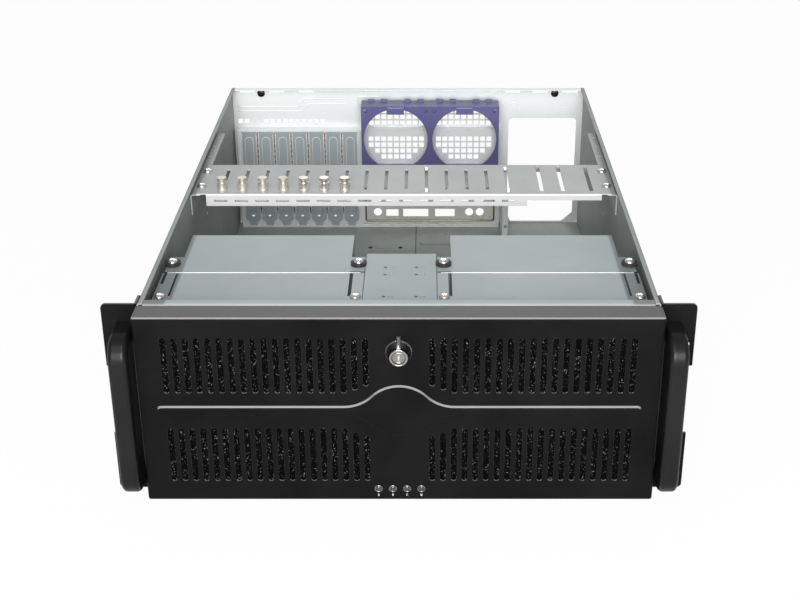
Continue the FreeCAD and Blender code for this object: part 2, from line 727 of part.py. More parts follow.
def front_panel():
    """Steel front behind the door, with its top lip, bay windows, hinge eyes and lock catch."""
    plate = block((-HALF_WIDTH, HALF_WIDTH), (FRONT, FRONT + SHEET), (0, CASE_HEIGHT - 2 * SHEET))
    lip_half = HALF_WIDTH - HEM - FIT_GAP
    lip_path = (
        (FRONT + SHEET / 2, CASE_HEIGHT - 4 * SHEET),
        (FRONT + SHEET / 2, CASE_HEIGHT - SHEET / 2),
        (FRONT + LIP_DEPTH - SHEET / 2, CASE_HEIGHT - SHEET / 2),
        (FRONT + LIP_DEPTH - SHEET / 2, DECK_TOP),
    )
    panel = plate.fuse(folded_sheet("X", lip_path, SHEET, -lip_half, lip_half))
    eye_start = DOOR_HALF - 2 * SHEET - FIT_GAP
    eye = rod("X", HINGE_Y, HINGE_AXIS_HEIGHT, HINGE_EYE - RUNNING_GAP, eye_start, eye_start + SHEET)
    root = block(
        (eye_start, eye_start + SHEET),
        (HINGE_Y, FRONT),
        (HINGE_AXIS_HEIGHT - HINGE_EYE / 2, HINGE_AXIS_HEIGHT + HINGE_EYE),
    )
    hole = rod("X", HINGE_Y, HINGE_AXIS_HEIGHT, HINGE_PIN, 0, HALF_WIDTH)
    lug = eye.fuse(root).cut(hole)
    panel = panel.fuse([lug, mirrored(lug)])
    catch_top = LOCK_HEIGHT + LOCK_CAM + CATCH_SHEET + FIT_GAP
    catch_front = CAM_BACK - LOCK_CAM_SHEET - CATCH_GAP - CATCH_SHEET / 2
    catch_path = (
        (FRONT, catch_top - CATCH_SHEET / 2),
        (catch_front, catch_top - CATCH_SHEET / 2),
        (catch_front, catch_top - CATCH_DROP),
    )
    panel = panel.fuse(folded_sheet("X", catch_path, CATCH_SHEET, -CATCH_HALF, CATCH_HALF))
    cuts = []
    window_low = BAY_BOTTOM + SHEET
    window_high = BAY_TOP - SHEET
    window_width = BAY_WIDTH - 2 * SHEET
    middle = (CAGE_INNER + CAGE_OUTER) / 2
    for side in (-1, 1):
        centre = (side * middle, (window_low + window_high) / 2)
        size = (window_width, window_high - window_low)
        cuts.append(rounded_prism("Y", centre, size, 1, FRONT - TINY, FRONT + SHEET + TINY))
    control_size = (
        2 * (CONTROL_HALF - CONTROL_WINDOW_EDGE),
        CONTROL_HIGH - CONTROL_LOW - 2 * CONTROL_WINDOW_EDGE,
    )
    control_centre = (0, (CONTROL_LOW + CONTROL_HIGH) / 2)
    cuts.append(rounded_prism("Y", control_centre, control_size, 2, FRONT - TINY, FRONT + SHEET + TINY))
    return panel.cut(Part.makeCompound(cuts))


def front_deck():
    """Plate over the front of the cages, with its middle tongue and side strips."""
    start = FRONT + SHEET
    end = FRONT + DECK_DEPTH
    level = (DECK_UNDER, DECK_TOP)
    deck = block((-DECK_HALF, DECK_HALF), (start, end), level)
    deck = deck.fuse(block((-TONGUE_HALF, TONGUE_HALF), (start, FRONT + TONGUE_DEPTH), level))
    cut_level = (DECK_UNDER - TINY, DECK_TOP + TINY)
    cut_end = end + TINY
    cuts = []
    slots = (
        (TONGUE_HALF, TONGUE_SLIT, TONGUE_SLIT_START),
        (CAGE_INNER - DECK_SLOT, DECK_SLOT, DECK_SLOT_START),
        (CAGE_OUTER - DECK_SLOT / 2, DECK_SLOT, DECK_SLOT_START),
        (SHORT_SLOT_PLACE, SHORT_SLOT, SHORT_SLOT_START),
    )
    for place, width, first in slots:
        cuts.append(block((place, place + width), (FRONT + first, cut_end), cut_level))
        cuts.append(block((-place - width, -place), (FRONT + first, cut_end), cut_level))
    for x in (CAGE_SCREW_INNER, CAGE_SCREW_OUTER):
        for side in (-1, 1):
            hole = rod("Z", side * x, FRONT + DECK_SCREW_DEPTH, SCREW_HOLE, *cut_level)
            cuts.append(hole)
    for depth in TONGUE_HOLE_ROWS:
        for side in (-1, 1):
            x = side * TONGUE_HOLE_SPREAD / 2
            cuts.append(rod("Z", x, FRONT + depth, TONGUE_HOLE, *cut_level))
    return deck.cut(cuts)


def cage_right():
    """Cage for three full-size drives: top, two side walls, shelf, runners, tabs and feet."""
    front = FRONT + SHEET + CAGE_FRONT_GAP
    rear = FRONT + CAGE_DEPTH
    seam = FRONT + DECK_DEPTH + SEAM_GAP
    top = block((CAGE_INNER, CAGE_OUTER), (seam, rear), (DECK_UNDER, DECK_TOP))
    walls = []
    for x, foot in ((CAGE_INNER, -1), (CAGE_OUTER - CAGE_SHEET, 1)):
        walls.append(block((x, x + CAGE_SHEET), (front, rear), (SHEET, DECK_UNDER)))
        inner = x if foot < 0 else x + CAGE_SHEET
        low_x = min(inner, inner + foot * CAGE_FOOT)
        high_x = max(inner, inner + foot * CAGE_FOOT)
        foot_y = (rear - CAGE_FOOT_LENGTH, rear - CAGE_FOOT)
        walls.append(block((low_x, high_x), foot_y, (SHEET, SHEET + CAGE_SHEET)))
        tab_y = (FRONT + CAGE_TAB_START, FRONT + CAGE_TAB_START + CAGE_TAB_DEPTH)
        reach = CAGE_INNER - TONGUE_HALF - CAGE_TAB_GAP
        low_x = min(inner, inner + foot * reach)
        high_x = max(inner, inner + foot * reach)
        walls.append(block((low_x, high_x), tab_y, (DECK_UNDER, DECK_TOP)))
        runner_x = x + CAGE_SHEET if foot < 0 else x - RUNNER_RISE
        for bay in range(1, BAY_COUNT):
            height = BAY_BOTTOM + bay * BAY_PITCH
            runner_y = (front + COVER_RETURN + COVER_SHEET, front + COVER_RETURN + RUNNER_LENGTH)
            walls.append(
                block((runner_x, runner_x + RUNNER_RISE), runner_y, (height, height + RUNNER_HEIGHT))
            )
    shelf = block(
        (CAGE_INNER, CAGE_OUTER),
        (front + CAGE_SHEET, rear),
        (BAY_BOTTOM - CAGE_SHEET, BAY_BOTTOM),
    )
    cage = top.fuse(walls + [shelf])
    holes = []
    for x in (CAGE_SCREW_INNER, CAGE_SCREW_OUTER):
        level = (DECK_UNDER - TINY, DECK_TOP + TINY)
        holes.append(rod("Z", x, FRONT + CAGE_SCREW_DEPTH, SCREW_HOLE, *level))
    return cage.cut(holes).removeSplitter()


def cage_washers():
    """Rubber washers between the cage tabs and their screws."""
    washers = []
    for x in (CAGE_SCREW_INNER, CAGE_SCREW_OUTER):
        y = FRONT + CAGE_SCREW_DEPTH
        outer = rod("Z", x, y, WASHER_RADIUS, DECK_TOP, DECK_TOP + WASHER_HEIGHT)
        washer = outer.cut(rod("Z", x, y, SCREW_HOLE, DECK_TOP - 1, DECK_TOP + WASHER_HEIGHT + 1))
        washers.extend((washer, mirrored(washer)))
    return washers


def cage_screws():
    """Screws through the cage washers."""
    screws = []
    for x in (CAGE_SCREW_INNER, CAGE_SCREW_OUTER):
        seat = DECK_TOP + WASHER_HEIGHT
        screw = pan_screw("Z", x, FRONT + CAGE_SCREW_DEPTH, seat, 1)
        screws.extend((screw, mirrored(screw)))
    return screws


def deck_screws():
    """Screws at the front of the deck."""
    screws = []
    for x in (CAGE_SCREW_INNER, CAGE_SCREW_OUTER):
        screw = pan_screw("Z", x, FRONT + DECK_SCREW_DEPTH, DECK_TOP, 1)
        screws.extend((screw, mirrored(screw)))
    return screws


def bay_cover(side, bay):
    """Blank cover of one drive bay: a folded tray with a shallow finger grip."""
    middle = side * (CAGE_INNER + CAGE_OUTER) / 2
    half = BAY_WIDTH / 2 - SHEET - FIT_GAP
    window_low = BAY_BOTTOM + SHEET
    pitch = (BAY_TOP - BAY_BOTTOM - 2 * SHEET) / BAY_COUNT
    low = window_low + bay * pitch + FIT_GAP / 2
    high = low + pitch - FIT_GAP
    sheet = COVER_SHEET
    path = (
        (middle - half + sheet / 2, FRONT + COVER_RETURN),
        (middle - half + sheet / 2, FRONT + sheet / 2),
        (middle + half - sheet / 2, FRONT + sheet / 2),
        (middle + half - sheet / 2, FRONT + COVER_RETURN),
    )
    cover = folded_sheet("Z", path, sheet, low, high)
    grip = rounded_prism(
        "Y",
        (middle, low + COVER_GRIP_HEIGHT),
        (2 * COVER_GRIP_HALF, COVER_GRIP_HEIGHT),
        COVER_GRIP_HEIGHT / 2 - TINY,
        FRONT - TINY,
        FRONT + COVER_GRIP_DEPTH,
    )
    return cover.cut(grip)


def control_plate():
    """Plate in the middle of the front panel that holds the two buttons."""
    centre = (0, (CONTROL_LOW + CONTROL_HIGH) / 2)
    size = (2 * CONTROL_HALF, CONTROL_HIGH - CONTROL_LOW)
    plate = rounded_prism("Y", centre, size, 3, FRONT - CONTROL_SHEET, FRONT)
    edge = 2 * CONTROL_WINDOW_EDGE + 2 * FIT_GAP
    spigot_size = (size[0] - edge, size[1] - edge)
    spigot = rounded_prism("Y", centre, spigot_size, 2, FRONT, FRONT + SHEET)
    wells = []
    for radius, height in ((POWER_RADIUS, POWER_HEIGHT), (RESET_RADIUS, RESET_HEIGHT)):
        hole = radius + RUNNING_GAP
        wells.append(rod("Y", 0, height, hole, FRONT - CONTROL_SHEET - TINY, FRONT + SHEET + TINY))
    return plate.fuse(spigot).cut(wells)


def push_button(radius, height):
    """Button cap with a slight dish, and the flange behind the plate that keeps it in."""
    face = FRONT - CONTROL_SHEET - BUTTON_PROUD
    flange = FRONT + SHEET + RUNNING_GAP
    outline = (
        (radius - 0.6, face),
        (radius, face + 0.6),
        (radius, flange),
        (radius + BUTTON_FLANGE, flange),
        (radius + BUTTON_FLANGE, flange + 1),
        (radius * 0.5, flange + 1),
        (radius * 0.5, flange + BUTTON_STEM),
    )
    button = lathe("Y", 0, height, outline)
    ball = radius * 4
    dish = Part.makeSphere(ball, Vector(0, face - ball * 0.985, height))
    return button.cut(dish)


# ---------------------------------------------------------------- door
def band_outline(inset, y):
    """Outline of the raised band: a long bar that swells at the middle in S-curves.

    Each swell edge is three tangent arcs of one radius; an inset shrinks the outline all round.
    """
    length = BAND_SWELL_HALF
    radius = (length * length + BAND_SWELL * BAND_SWELL) / (4 * BAND_SWELL)
    lean = math.asin(length / 2 / radius)
    top = BAND_HALF + BAND_SWELL
    crown = radius - inset
    flank = radius + inset
    upper = []
    centre_z = top - radius
    side_z = BAND_HALF + radius
    end_x = BAND_LENGTH - BAND_HALF
    cap = BAND_HALF - inset
    joint_x = crown * math.sin(lean)
    joint_z = centre_z + crown * math.cos(lean)
    half = lean / 2
    flank_x = length - flank * math.sin(half)
    flank_z = side_z - flank * math.cos(half)
    upper.append(((end_x, cap), (length, BAND_HALF - inset)))
    upper.append(((length, BAND_HALF - inset), (flank_x, flank_z), (joint_x, joint_z)))
    upper.append(((joint_x, joint_z), (0, centre_z + crown), (-joint_x, joint_z)))
    upper.append(((-joint_x, joint_z), (-flank_x, flank_z), (-length, BAND_HALF - inset)))
    upper.append(((-length, BAND_HALF - inset), (-end_x, cap)))
    pieces = list(upper)
    pieces.append(((-end_x, cap), (-end_x - cap, 0), (-end_x, -cap)))
    for piece in reversed(upper):
        pieces.append(tuple((x, -z) for x, z in reversed(piece)))
    pieces.append(((end_x, -cap), (end_x + cap, 0), (end_x, cap)))
    edges = []
    for piece in pieces:
        points = [Vector(x, y, BAND_CENTRE + z) for x, z in piece]
        if len(points) == 3:
            edges.append(Part.Arc(*points).toShape())
        else:
            edges.append(Part.makeLine(*points))
    return Part.Wire(edges)


def band_solid(inset, y):
    """Raised band with sloping sides, standing forward of a plane at y."""
    outline = Part.Face(band_outline(inset, y))
    band = outline.extrude(Vector(0, -BAND_RISE, 0))
    crest = [edge for edge in band.Edges if edge.BoundBox.YMax < y - BAND_RISE + TINY]
    return band.makeChamfer(BAND_RISE - TINY, crest)


def punched_slot(centre, size, start, end):
    """Upright slot whose ends are half circles drawn as a few equal chords."""
    radius = size[0] / 2
    reach = size[1] / 2 - radius
    corners = []
    for side in (1, -1):
        for step in range(VENT_END_CHORDS + 1):
            angle = math.radians(180 * step / VENT_END_CHORDS)
            x = centre[0] + side * radius * math.cos(angle)
            z = centre[1] + side * (reach + radius * math.sin(angle))
            corners.append((x, z))
    return prism("Y", corners, start, end)


def vent_slots():
    """Two rows of upright slots on each side of the door."""
    slots = []
    for column in range(VENT_COUNT):
        upper_low = VENT_UPPER[0]
        lower_high = VENT_LOWER[1]
        if column < len(VENT_UPPER_TRIM):
            upper_low += VENT_UPPER_TRIM[column]
            lower_high -= VENT_LOWER_TRIM[column]
        for side in (-1, 1):
            x = side * (VENT_START + column * VENT_PITCH)
            for low, high in ((upper_low, VENT_UPPER[1]), (VENT_LOWER[0], lower_high)):
                centre = (x, (low + high) / 2)
                size = (VENT_WIDTH, high - low)
                slots.append(punched_slot(centre, size, DOOR_FACE - TINY, DOOR_INNER + TINY))
    return slots


def lamp_places():
    """X of each indicator lamp."""
    first = -(LAMP_COUNT - 1) * LAMP_PITCH / 2
    return [first + index * LAMP_PITCH for index in range(LAMP_COUNT)]


def door():
    """Door folded from one sheet: vented face, raised band and four rim flanges."""
    centre = (0, (DOOR_BOTTOM + DOOR_TOP) / 2)
    size = (2 * DOOR_HALF, DOOR_TOP - DOOR_BOTTOM)
    outer = rounded_prism("Y", centre, size, DOOR_EDGE, DOOR_FACE, DOOR_BACK)
    face_edges = [edge for edge in outer.Edges if edge.BoundBox.YMax < DOOR_FACE + TINY]
    outer = outer.makeFillet(DOOR_EDGE - TINY, face_edges)
    inner_size = (size[0] - 2 * SHEET, size[1] - 2 * SHEET)
    corner = DOOR_EDGE - SHEET
    inner = rounded_prism("Y", centre, inner_size, corner, DOOR_INNER, DOOR_BACK + 1)
    shell = outer.cut(inner)
    eye_low = HINGE_AXIS_HEIGHT - HINGE_EYE
    trims = [
        block(
            (-DOOR_HALF + SHEET, DOOR_HALF - SHEET),
            (HINGE_Y - HINGE_EYE - FIT_GAP, DOOR_BACK + 1),
            (DOOR_BOTTOM - 1, DOOR_BOTTOM + DOOR_EDGE + TINY),
        )
    ]
    rim_corner = prism(
        "X",
        (
            (HINGE_Y, eye_low - 1),
            (DOOR_BACK + 1, eye_low - 1),
            (DOOR_BACK + 1, HINGE_AXIS_HEIGHT),
            (HINGE_Y, HINGE_AXIS_HEIGHT),
        ),
        -DOOR_HALF - 1,
        DOOR_HALF + 1,
    )
    eye = rod("X", HINGE_Y, HINGE_AXIS_HEIGHT, HINGE_EYE, -DOOR_HALF - 2, DOOR_HALF + 2)
    trims.append(rim_corner.cut(eye))
    notch = slot(
        "X",
        ((DOOR_FACE + DOOR_BACK) / 2 + DOOR_NOTCH_HEIGHT, DOOR_BOTTOM + DOOR_NOTCH_RISE),
        (DOOR_DEPTH, DOOR_NOTCH_HEIGHT),
        -DOOR_HALF - 1,
        DOOR_HALF + 1,
    )
    trims.append(notch)
    pivot = HINGE_PIN + RUNNING_GAP
    trims.append(rod("X", HINGE_Y, HINGE_AXIS_HEIGHT, pivot, -DOOR_HALF - 1, DOOR_HALF + 1))
    shell = shell.cut(trims)
    shell = shell.fuse(band_solid(0, DOOR_FACE)).cut(band_solid(SHEET / 2, DOOR_INNER))
    cuts = vent_slots()
    for x in lamp_places():
        hole = LAMP_LENS + RUNNING_GAP
        cuts.append(rod("Y", x, LAMP_HEIGHT, hole, DOOR_FACE - 1, DOOR_INNER + 1))
    thread = LOCK_THREAD + RUNNING_GAP
    cuts.append(rod("Y", 0, LOCK_HEIGHT, thread, DOOR_FACE - 1, DOOR_INNER + 1))
    return shell.cut(Part.makeCompound(cuts))


def indicator_lamps():
    """Four lens bodies with a thin rim on the door's face."""
    lamps = []
    for x in lamp_places():
        rim = DOOR_FACE - LAMP_RIM_HEIGHT
        outline = (
            (LAMP_LENS * LAMP_DOME, rim - LAMP_DOME_RISE),
            (LAMP_LENS, rim),
            (LAMP_RIM, rim),
            (LAMP_RIM, DOOR_FACE),
            (LAMP_LENS, DOOR_FACE),
            (LAMP_LENS, DOOR_FACE + LAMP_LENGTH),
        )
        lamps.append(lathe("Y", x, LAMP_HEIGHT, outline))
    return lamps


def foam_filter(side):
    """Foam sheet behind one half of the door's slots."""
    near = side * FOAM_INNER
    far = side * FOAM_OUTER
    front = DOOR_INNER + SOFT_GAP
    x = (min(near, far), max(near, far))
    return block(x, (front, front + FOAM_THICKNESS), (FOAM_LOW, FOAM_HIGH))


def filter_frame():
    """Pressed frame that keeps both foam sheets against the door."""
    back = DOOR_INNER + 2 * SOFT_GAP + FOAM_THICKNESS
    half = THIN_SHEET / 2
    path = (
        (-FRAME_OUTER + half, DOOR_INNER),
        (-FRAME_OUTER + half, back + half),
        (FRAME_OUTER - half, back + half),
        (FRAME_OUTER - half, DOOR_INNER),
    )
    frame = folded_sheet("Z", path, THIN_SHEET, FOAM_LOW, FOAM_HIGH + THIN_SHEET)
    cuts = []
    span = FRAME_OUTER - FRAME_LOCK_HALF - 2 * FRAME_BAR
    width = (span - (FRAME_COLUMNS - 1) * FRAME_BAR) / FRAME_COLUMNS
    tall = FOAM_HIGH - FOAM_LOW - 2 * FRAME_BAR
    height = (tall - (FRAME_ROWS - 1) * FRAME_BAR) / FRAME_ROWS
    for side in (-1, 1):
        for column in range(FRAME_COLUMNS):
            x = FRAME_LOCK_HALF + FRAME_BAR + width / 2 + column * (width + FRAME_BAR)
            for row in range(FRAME_ROWS):
                z = FOAM_LOW + FRAME_BAR + height / 2 + row * (height + FRAME_BAR)
                size = (width, height)
                cuts.append(window("Y", (side * x, z), size, back - 1, back + THIN_SHEET + 1))
    cuts.append(
        block(
            (-FRAME_LOCK_HALF, FRAME_LOCK_HALF),
            (back - 1, back + THIN_SHEET + 1),
            (FRAME_LOCK_LOW, FOAM_HIGH + 2),
        )
    )
    return frame.cut(Part.makeCompound(cuts))


# ---------------------------------------------------------------- lock
def lock_body():
    """Turned lock housing: domed base, ring and threaded sleeve, with an upright fin."""
    front = DOOR_FACE - LOCK_REACH
    outline = (
        (LOCK_FACE - 0.8, front),
        (LOCK_FACE, front + 0.8),
        (LOCK_FACE + 0.5, front + 3.5),
        (LOCK_FACE + 1.5, front + 6.0),
        (LOCK_ROSE - 0.8, DOOR_FACE - LOCK_ROSE_RIM),
        (LOCK_ROSE, DOOR_FACE - LOCK_ROSE_RIM * 0.6),
        (LOCK_ROSE, DOOR_FACE),
        (LOCK_THREAD, DOOR_FACE),
        (LOCK_THREAD, DOOR_INNER + LOCK_BODY_LENGTH),
    )
    body = lathe("Y", 0, LOCK_HEIGHT, outline)
    fin_half = LOCK_FIN_WIDTH / 2
    fin = prism(
        "X",
        (
            (DOOR_FACE, LOCK_HEIGHT + LOCK_BARREL + 1),
            (DOOR_FACE, LOCK_HEIGHT + LOCK_FIN_TOP),
            (DOOR_FACE - 2.0, LOCK_HEIGHT + LOCK_FIN_TOP),
            (front + 1.2, LOCK_HEIGHT + LOCK_FACE + 1.5),
            (front + 1.2, LOCK_HEIGHT + LOCK_BARREL + 1),
        ),
        -fin_half,
        fin_half,
    )
    bore = LOCK_BARREL + RUNNING_GAP
    hole = rod("Y", 0, LOCK_HEIGHT, bore, front - 1, DOOR_INNER + LOCK_BODY_LENGTH + 1)
    return body.fuse(fin).cut(hole)


def lock_barrel():
    """Turning core with its keyway, reaching back to the cam."""
    front = DOOR_FACE - LOCK_REACH + 0.6
    back = CAM_BACK + 1.0
    outline = (
        (LOCK_BARREL - 0.5, front),
        (LOCK_BARREL, front + 0.5),
        (LOCK_BARREL, DOOR_INNER + LOCK_BODY_LENGTH + LOCK_CAM_GAP),
        (LOCK_BARREL - 1.5, DOOR_INNER + LOCK_BODY_LENGTH + LOCK_CAM_GAP),
        (LOCK_BARREL - 1.5, back),
    )
    barrel = lathe("Y", 0, LOCK_HEIGHT, outline)
    reach = (KEYWAY_WIDTH / 2, KEYWAY_HEIGHT / 2)
    keyway = prism_box("Y", 0, LOCK_HEIGHT, reach, front - TINY, front + KEYWAY_DEPTH)
    return barrel.cut(keyway)


def lock_nut():
    """Hexagon nut that clamps the lock to the door."""
    corners = []
    for corner in range(6):
        angle = math.radians(60 * corner)
        corners.append((LOCK_NUT_HALF * math.cos(angle), LOCK_HEIGHT + LOCK_NUT_HALF * math.sin(angle)))
    nut = prism("Y", corners, DOOR_INNER, DOOR_INNER + LOCK_NUT)
    bore = LOCK_THREAD + RUNNING_GAP
    return nut.cut(rod("Y", 0, LOCK_HEIGHT, bore, DOOR_INNER - 1, DOOR_INNER + LOCK_NUT + 1))


def lock_cam():
    """Cam arm on the barrel's back end, pointing sideways while unlocked."""
    front = CAM_BACK - LOCK_CAM_SHEET
    half = LOCK_CAM_WIDTH / 2
    centre = ((LOCK_CAM - half) / 2, LOCK_HEIGHT)
    arm = rounded_prism("Y", centre, (LOCK_CAM + half, 2 * half), half - 1, front, CAM_BACK)
    bore = LOCK_BARREL - 1.5 + RUNNING_GAP
    return arm.cut(rod("Y", 0, LOCK_HEIGHT, bore, front - 1, CAM_BACK + 1))


def hinge_pins():
    """Pins in the front panel's eyes, on which the door's rim turns."""
    start = DOOR_HALF - 3 * SHEET - 2 * FIT_GAP
    pin = rod("X", HINGE_Y, HINGE_AXIS_HEIGHT, HINGE_PIN, start, DOOR_HALF)
    head = rod("X", HINGE_Y, HINGE_AXIS_HEIGHT, HINGE_EYE - 0.5, start - 1, start)
    pin = pin.fuse(head)
    return [pin, mirrored(pin)]


# ---------------------------------------------------------------- ears and handles
def ear_right():
    """Rack ear: slotted front plate with a notch, and a flange back along the side wall."""
    half = EAR_SHEET / 2
    path = (
        (EAR_OUTER, FRONT + half),
        (HALF_WIDTH + half, FRONT + half),
        (HALF_WIDTH + half, FRONT + EAR_FLANGE),
    )
    ear = folded_sheet("Z", path, EAR_SHEET, 0, CASE_HEIGHT)
    outline = rounded_prism(
        "Y",
        (EAR_OUTER - EAR_CORNER * 5, CASE_HEIGHT / 2),
        (EAR_CORNER * 10, CASE_HEIGHT),
        EAR_CORNER,
        FRONT - 1,
        FRONT + EAR_SHEET,
    )
    plate_zone = block(
        (EAR_OUTER - EAR_CORNER, EAR_OUTER + 1),
        (FRONT - 1, FRONT + EAR_SHEET),
        (-1, CASE_HEIGHT + 1),
    )
    corners = plate_zone.cut(outline)
    notch = rounded_prism(
        "Y",
        (EAR_OUTER, (EAR_LOWER_TAB + CASE_HEIGHT - EAR_UPPER_TAB) / 2),
        (2 * EAR_NOTCH_DEPTH, CASE_HEIGHT - EAR_UPPER_TAB - EAR_LOWER_TAB),
        EAR_CORNER / 2,
        FRONT - 1,
        FRONT + EAR_SHEET + 1,
    )
    rear = FRONT + EAR_FLANGE
    tapers = []
    for base, sign in ((0, 1), (CASE_HEIGHT, -1)):
        tapers.append(
            prism(
                "X",
                (
                    (rear - EAR_TAPER, base - sign),
                    (rear + 1, base - sign),
                    (rear + 1, base + sign * EAR_TAPER),
                ),
                HALF_WIDTH - 1,
                HALF_WIDTH + EAR_SHEET + 1,
            )
        )
    cuts = [corners, notch] + tapers
    for sign in (-1, 1):
        centre = (RACK_SLOT_SPAN / 2, CASE_HEIGHT / 2 + sign * RACK_SLOT_RISE / 2)
        size = (RACK_SLOT_LENGTH, RACK_SLOT_WIDTH)
        cuts.append(slot("Y", centre, size, FRONT - 1, FRONT + EAR_SHEET + 1))
        height = HANDLE_LOW + HANDLE_DEPTH / 2
        height = height if sign < 0 else CASE_HEIGHT - height
        hole = HANDLE_SCREW + RUNNING_GAP
        cuts.append(rod("Y", HANDLE_CENTRE, height, hole, FRONT - 1, FRONT + EAR_SHEET + 1))
    return ear.cut(cuts)


def handle_right():
    """Bent handle of rounded section, with a blind hole in each foot."""
    reach = HANDLE_REACH - HANDLE_DEPTH / 2
    low = HANDLE_LOW + HANDLE_DEPTH / 2
    high = CASE_HEIGHT - low
    lean = HANDLE_BEND * (1 - math.cos(math.radians(45)))
    front = FRONT - reach
    x = HANDLE_CENTRE

    def place(y, z):
        return Vector(x, y, z)

    edges = [
        Part.makeLine(place(FRONT, low), place(front + HANDLE_BEND, low)),
        Part.Arc(
            place(front + HANDLE_BEND, low),
            place(front + lean, low + lean),
            place(front, low + HANDLE_BEND),
        ).toShape(),
        Part.makeLine(place(front, low + HANDLE_BEND), place(front, high - HANDLE_BEND)),
        Part.Arc(
            place(front, high - HANDLE_BEND),
            place(front + lean, high - lean),
            place(front + HANDLE_BEND, high),
        ).toShape(),
        Part.makeLine(place(front + HANDLE_BEND, high), place(FRONT, high)),
    ]
    path = Part.Wire(edges)
    section = rounded_prism("Y", (x, low), (HANDLE_WIDTH, HANDLE_DEPTH), HANDLE_EDGE, FRONT, FRONT + 1)
    profile = min(section.Faces, key=lambda face: face.CenterOfMass.y).OuterWire
    bar = path.makePipeShell([profile], True, False)
    holes = []
    for height in (low, high):
        hole = HANDLE_SCREW + RUNNING_GAP
        depth = HANDLE_SCREW_BITE + 1
        holes.append(rod("Y", x, height, hole, FRONT - depth, FRONT + 1))
    return bar.cut(holes)


def handle_screws():
    """Screws that hold the handles from behind the ears."""
    screws = []
    low = HANDLE_LOW + HANDLE_DEPTH / 2
    seat = FRONT + EAR_SHEET
    for height in (low, CASE_HEIGHT - low):
        outline = (
            (HANDLE_SCREW, FRONT - HANDLE_SCREW_BITE),
            (HANDLE_SCREW, seat),
            (HANDLE_SCREW * 2, seat),
            (HANDLE_SCREW * 2, seat + 1.6),
            (HANDLE_SCREW * 1.3, seat + 2.6),
        )
        screw = lathe("Y", HANDLE_CENTRE, height, outline)
        screws.extend((screw, mirrored(screw)))
    return screws


# ---------------------------------------------------------------- card bar
def bar_slot_x(index):
    """X of a short slot in the card bar."""
    return BAR_SLOT_FIRST + index * CARD_PITCH


def card_bar():
    """Folded bar across the case, with slots for the clamps and dashes in its front lip."""
    front = FRONT + BAR_FRONT
    rear = front + BAR_WIDTH
    half = BAR_SHEET / 2
    path = (
        (front + half, BAR_TOP - BAR_LIP),
        (front + half, BAR_TOP - half),
        (rear - half, BAR_TOP - half),
        (rear - half, BAR_TOP - BAR_REAR_LIP),
    )
    bar = folded_sheet("X", path, BAR_SHEET, -BAR_HALF, BAR_HALF)
    cuts = [
        block(
            (BAR_LOW_LIP_START, BAR_HALF + 1),
            (front - 1, front + BAR_SHEET + TINY),
            (BAR_TOP - BAR_LIP - 1, BAR_TOP - BAR_LOW_LIP),
        )
    ]
    for side in (-1, 1):
        lip_end = (side * (BAR_HALF - BRACKET_WIDTH), side * (BAR_HALF + 1))
        cuts.append(
            block(
                (min(lip_end), max(lip_end)),
                (front - 1, rear + 1),
                (BAR_TOP - BAR_LIP - 1, BAR_UNDER),
            )
        )
        x = side * (BAR_HALF - BAR_SCREW_INSET)
        for y in bar_screw_places():
            cuts.append(rod("Z", x, y, SCREW_HOLE, BAR_UNDER - 1, BAR_TOP + 1))
    level = (BAR_UNDER - TINY, BAR_TOP + TINY)
    middle = FRONT + (BAR_SLOT_START + BAR_SLOT_END) / 2
    length = BAR_SLOT_END - BAR_SLOT_START
    for index in range(BAR_SLOT_COUNT):
        cuts.append(window("Z", (bar_slot_x(index), middle), (BAR_SLOT_WIDTH, length), *level))
    middle = FRONT + (LONG_SLOT_START + LONG_SLOT_END) / 2
    length = LONG_SLOT_END - LONG_SLOT_START
    for x in LONG_SLOTS:
        cuts.append(slot("Z", (x, middle), (LONG_SLOT_WIDTH, length), *level))
    for index in range(DASH_COUNT):
        centre = (bar_slot_x(index), BAR_TOP - DASH_DROP)
        if centre[0] + DASH_LENGTH / 2 < BAR_LOW_LIP_START:
            dash = window("Y", centre, (DASH_LENGTH, DASH_HEIGHT), front - 1, front + BAR_SHEET + 1)
            cuts.append(dash)
    return bar.cut(Part.makeCompound(cuts))


def bar_screw_places():
    """Y of the two screws at each end of the card bar."""
    inset = BAR_WIDTH / 4
    front = FRONT + BAR_FRONT
    return (front + inset, front + BAR_WIDTH - inset)


def bar_bracket_right():
    """Angle on the side wall that carries the card bar and runs on behind it."""
    half = THIN_SHEET / 2
    inner = INNER_HALF - BRACKET_WIDTH
    path = (
        (inner, BAR_UNDER - half),
        (INNER_HALF - half, BAR_UNDER - half),
        (INNER_HALF - half, BAR_UNDER - BRACKET_DROP),
    )
    start = FRONT + BAR_FRONT
    end = FRONT + BRACKET_REAR
    bracket = folded_sheet("Y", path, THIN_SHEET, start, end)
    cuts = []
    x = BAR_HALF - BAR_SCREW_INSET
    for y in bar_screw_places():
        cuts.append(rod("Z", x, y, SCREW_HOLE, BAR_UNDER - 2, BAR_UNDER + 1))
    free = end - (start + BAR_WIDTH)
    for share in (0.25, 0.55, 0.85):
        y = start + BAR_WIDTH + free * share
        cuts.append(rod("Z", (inner + INNER_HALF) / 2, y, BRACKET_HOLE, BAR_UNDER - 2, BAR_UNDER + 1))
    return bracket.cut(cuts)


def bar_screws():
    """Screws through the bar's ends into its brackets."""
    screws = []
    for y in bar_screw_places():
        screw = pan_screw("Z", BAR_HALF - BAR_SCREW_INSET, y, BAR_TOP, 1)
        screws.extend((screw, mirrored(screw)))
    return screws


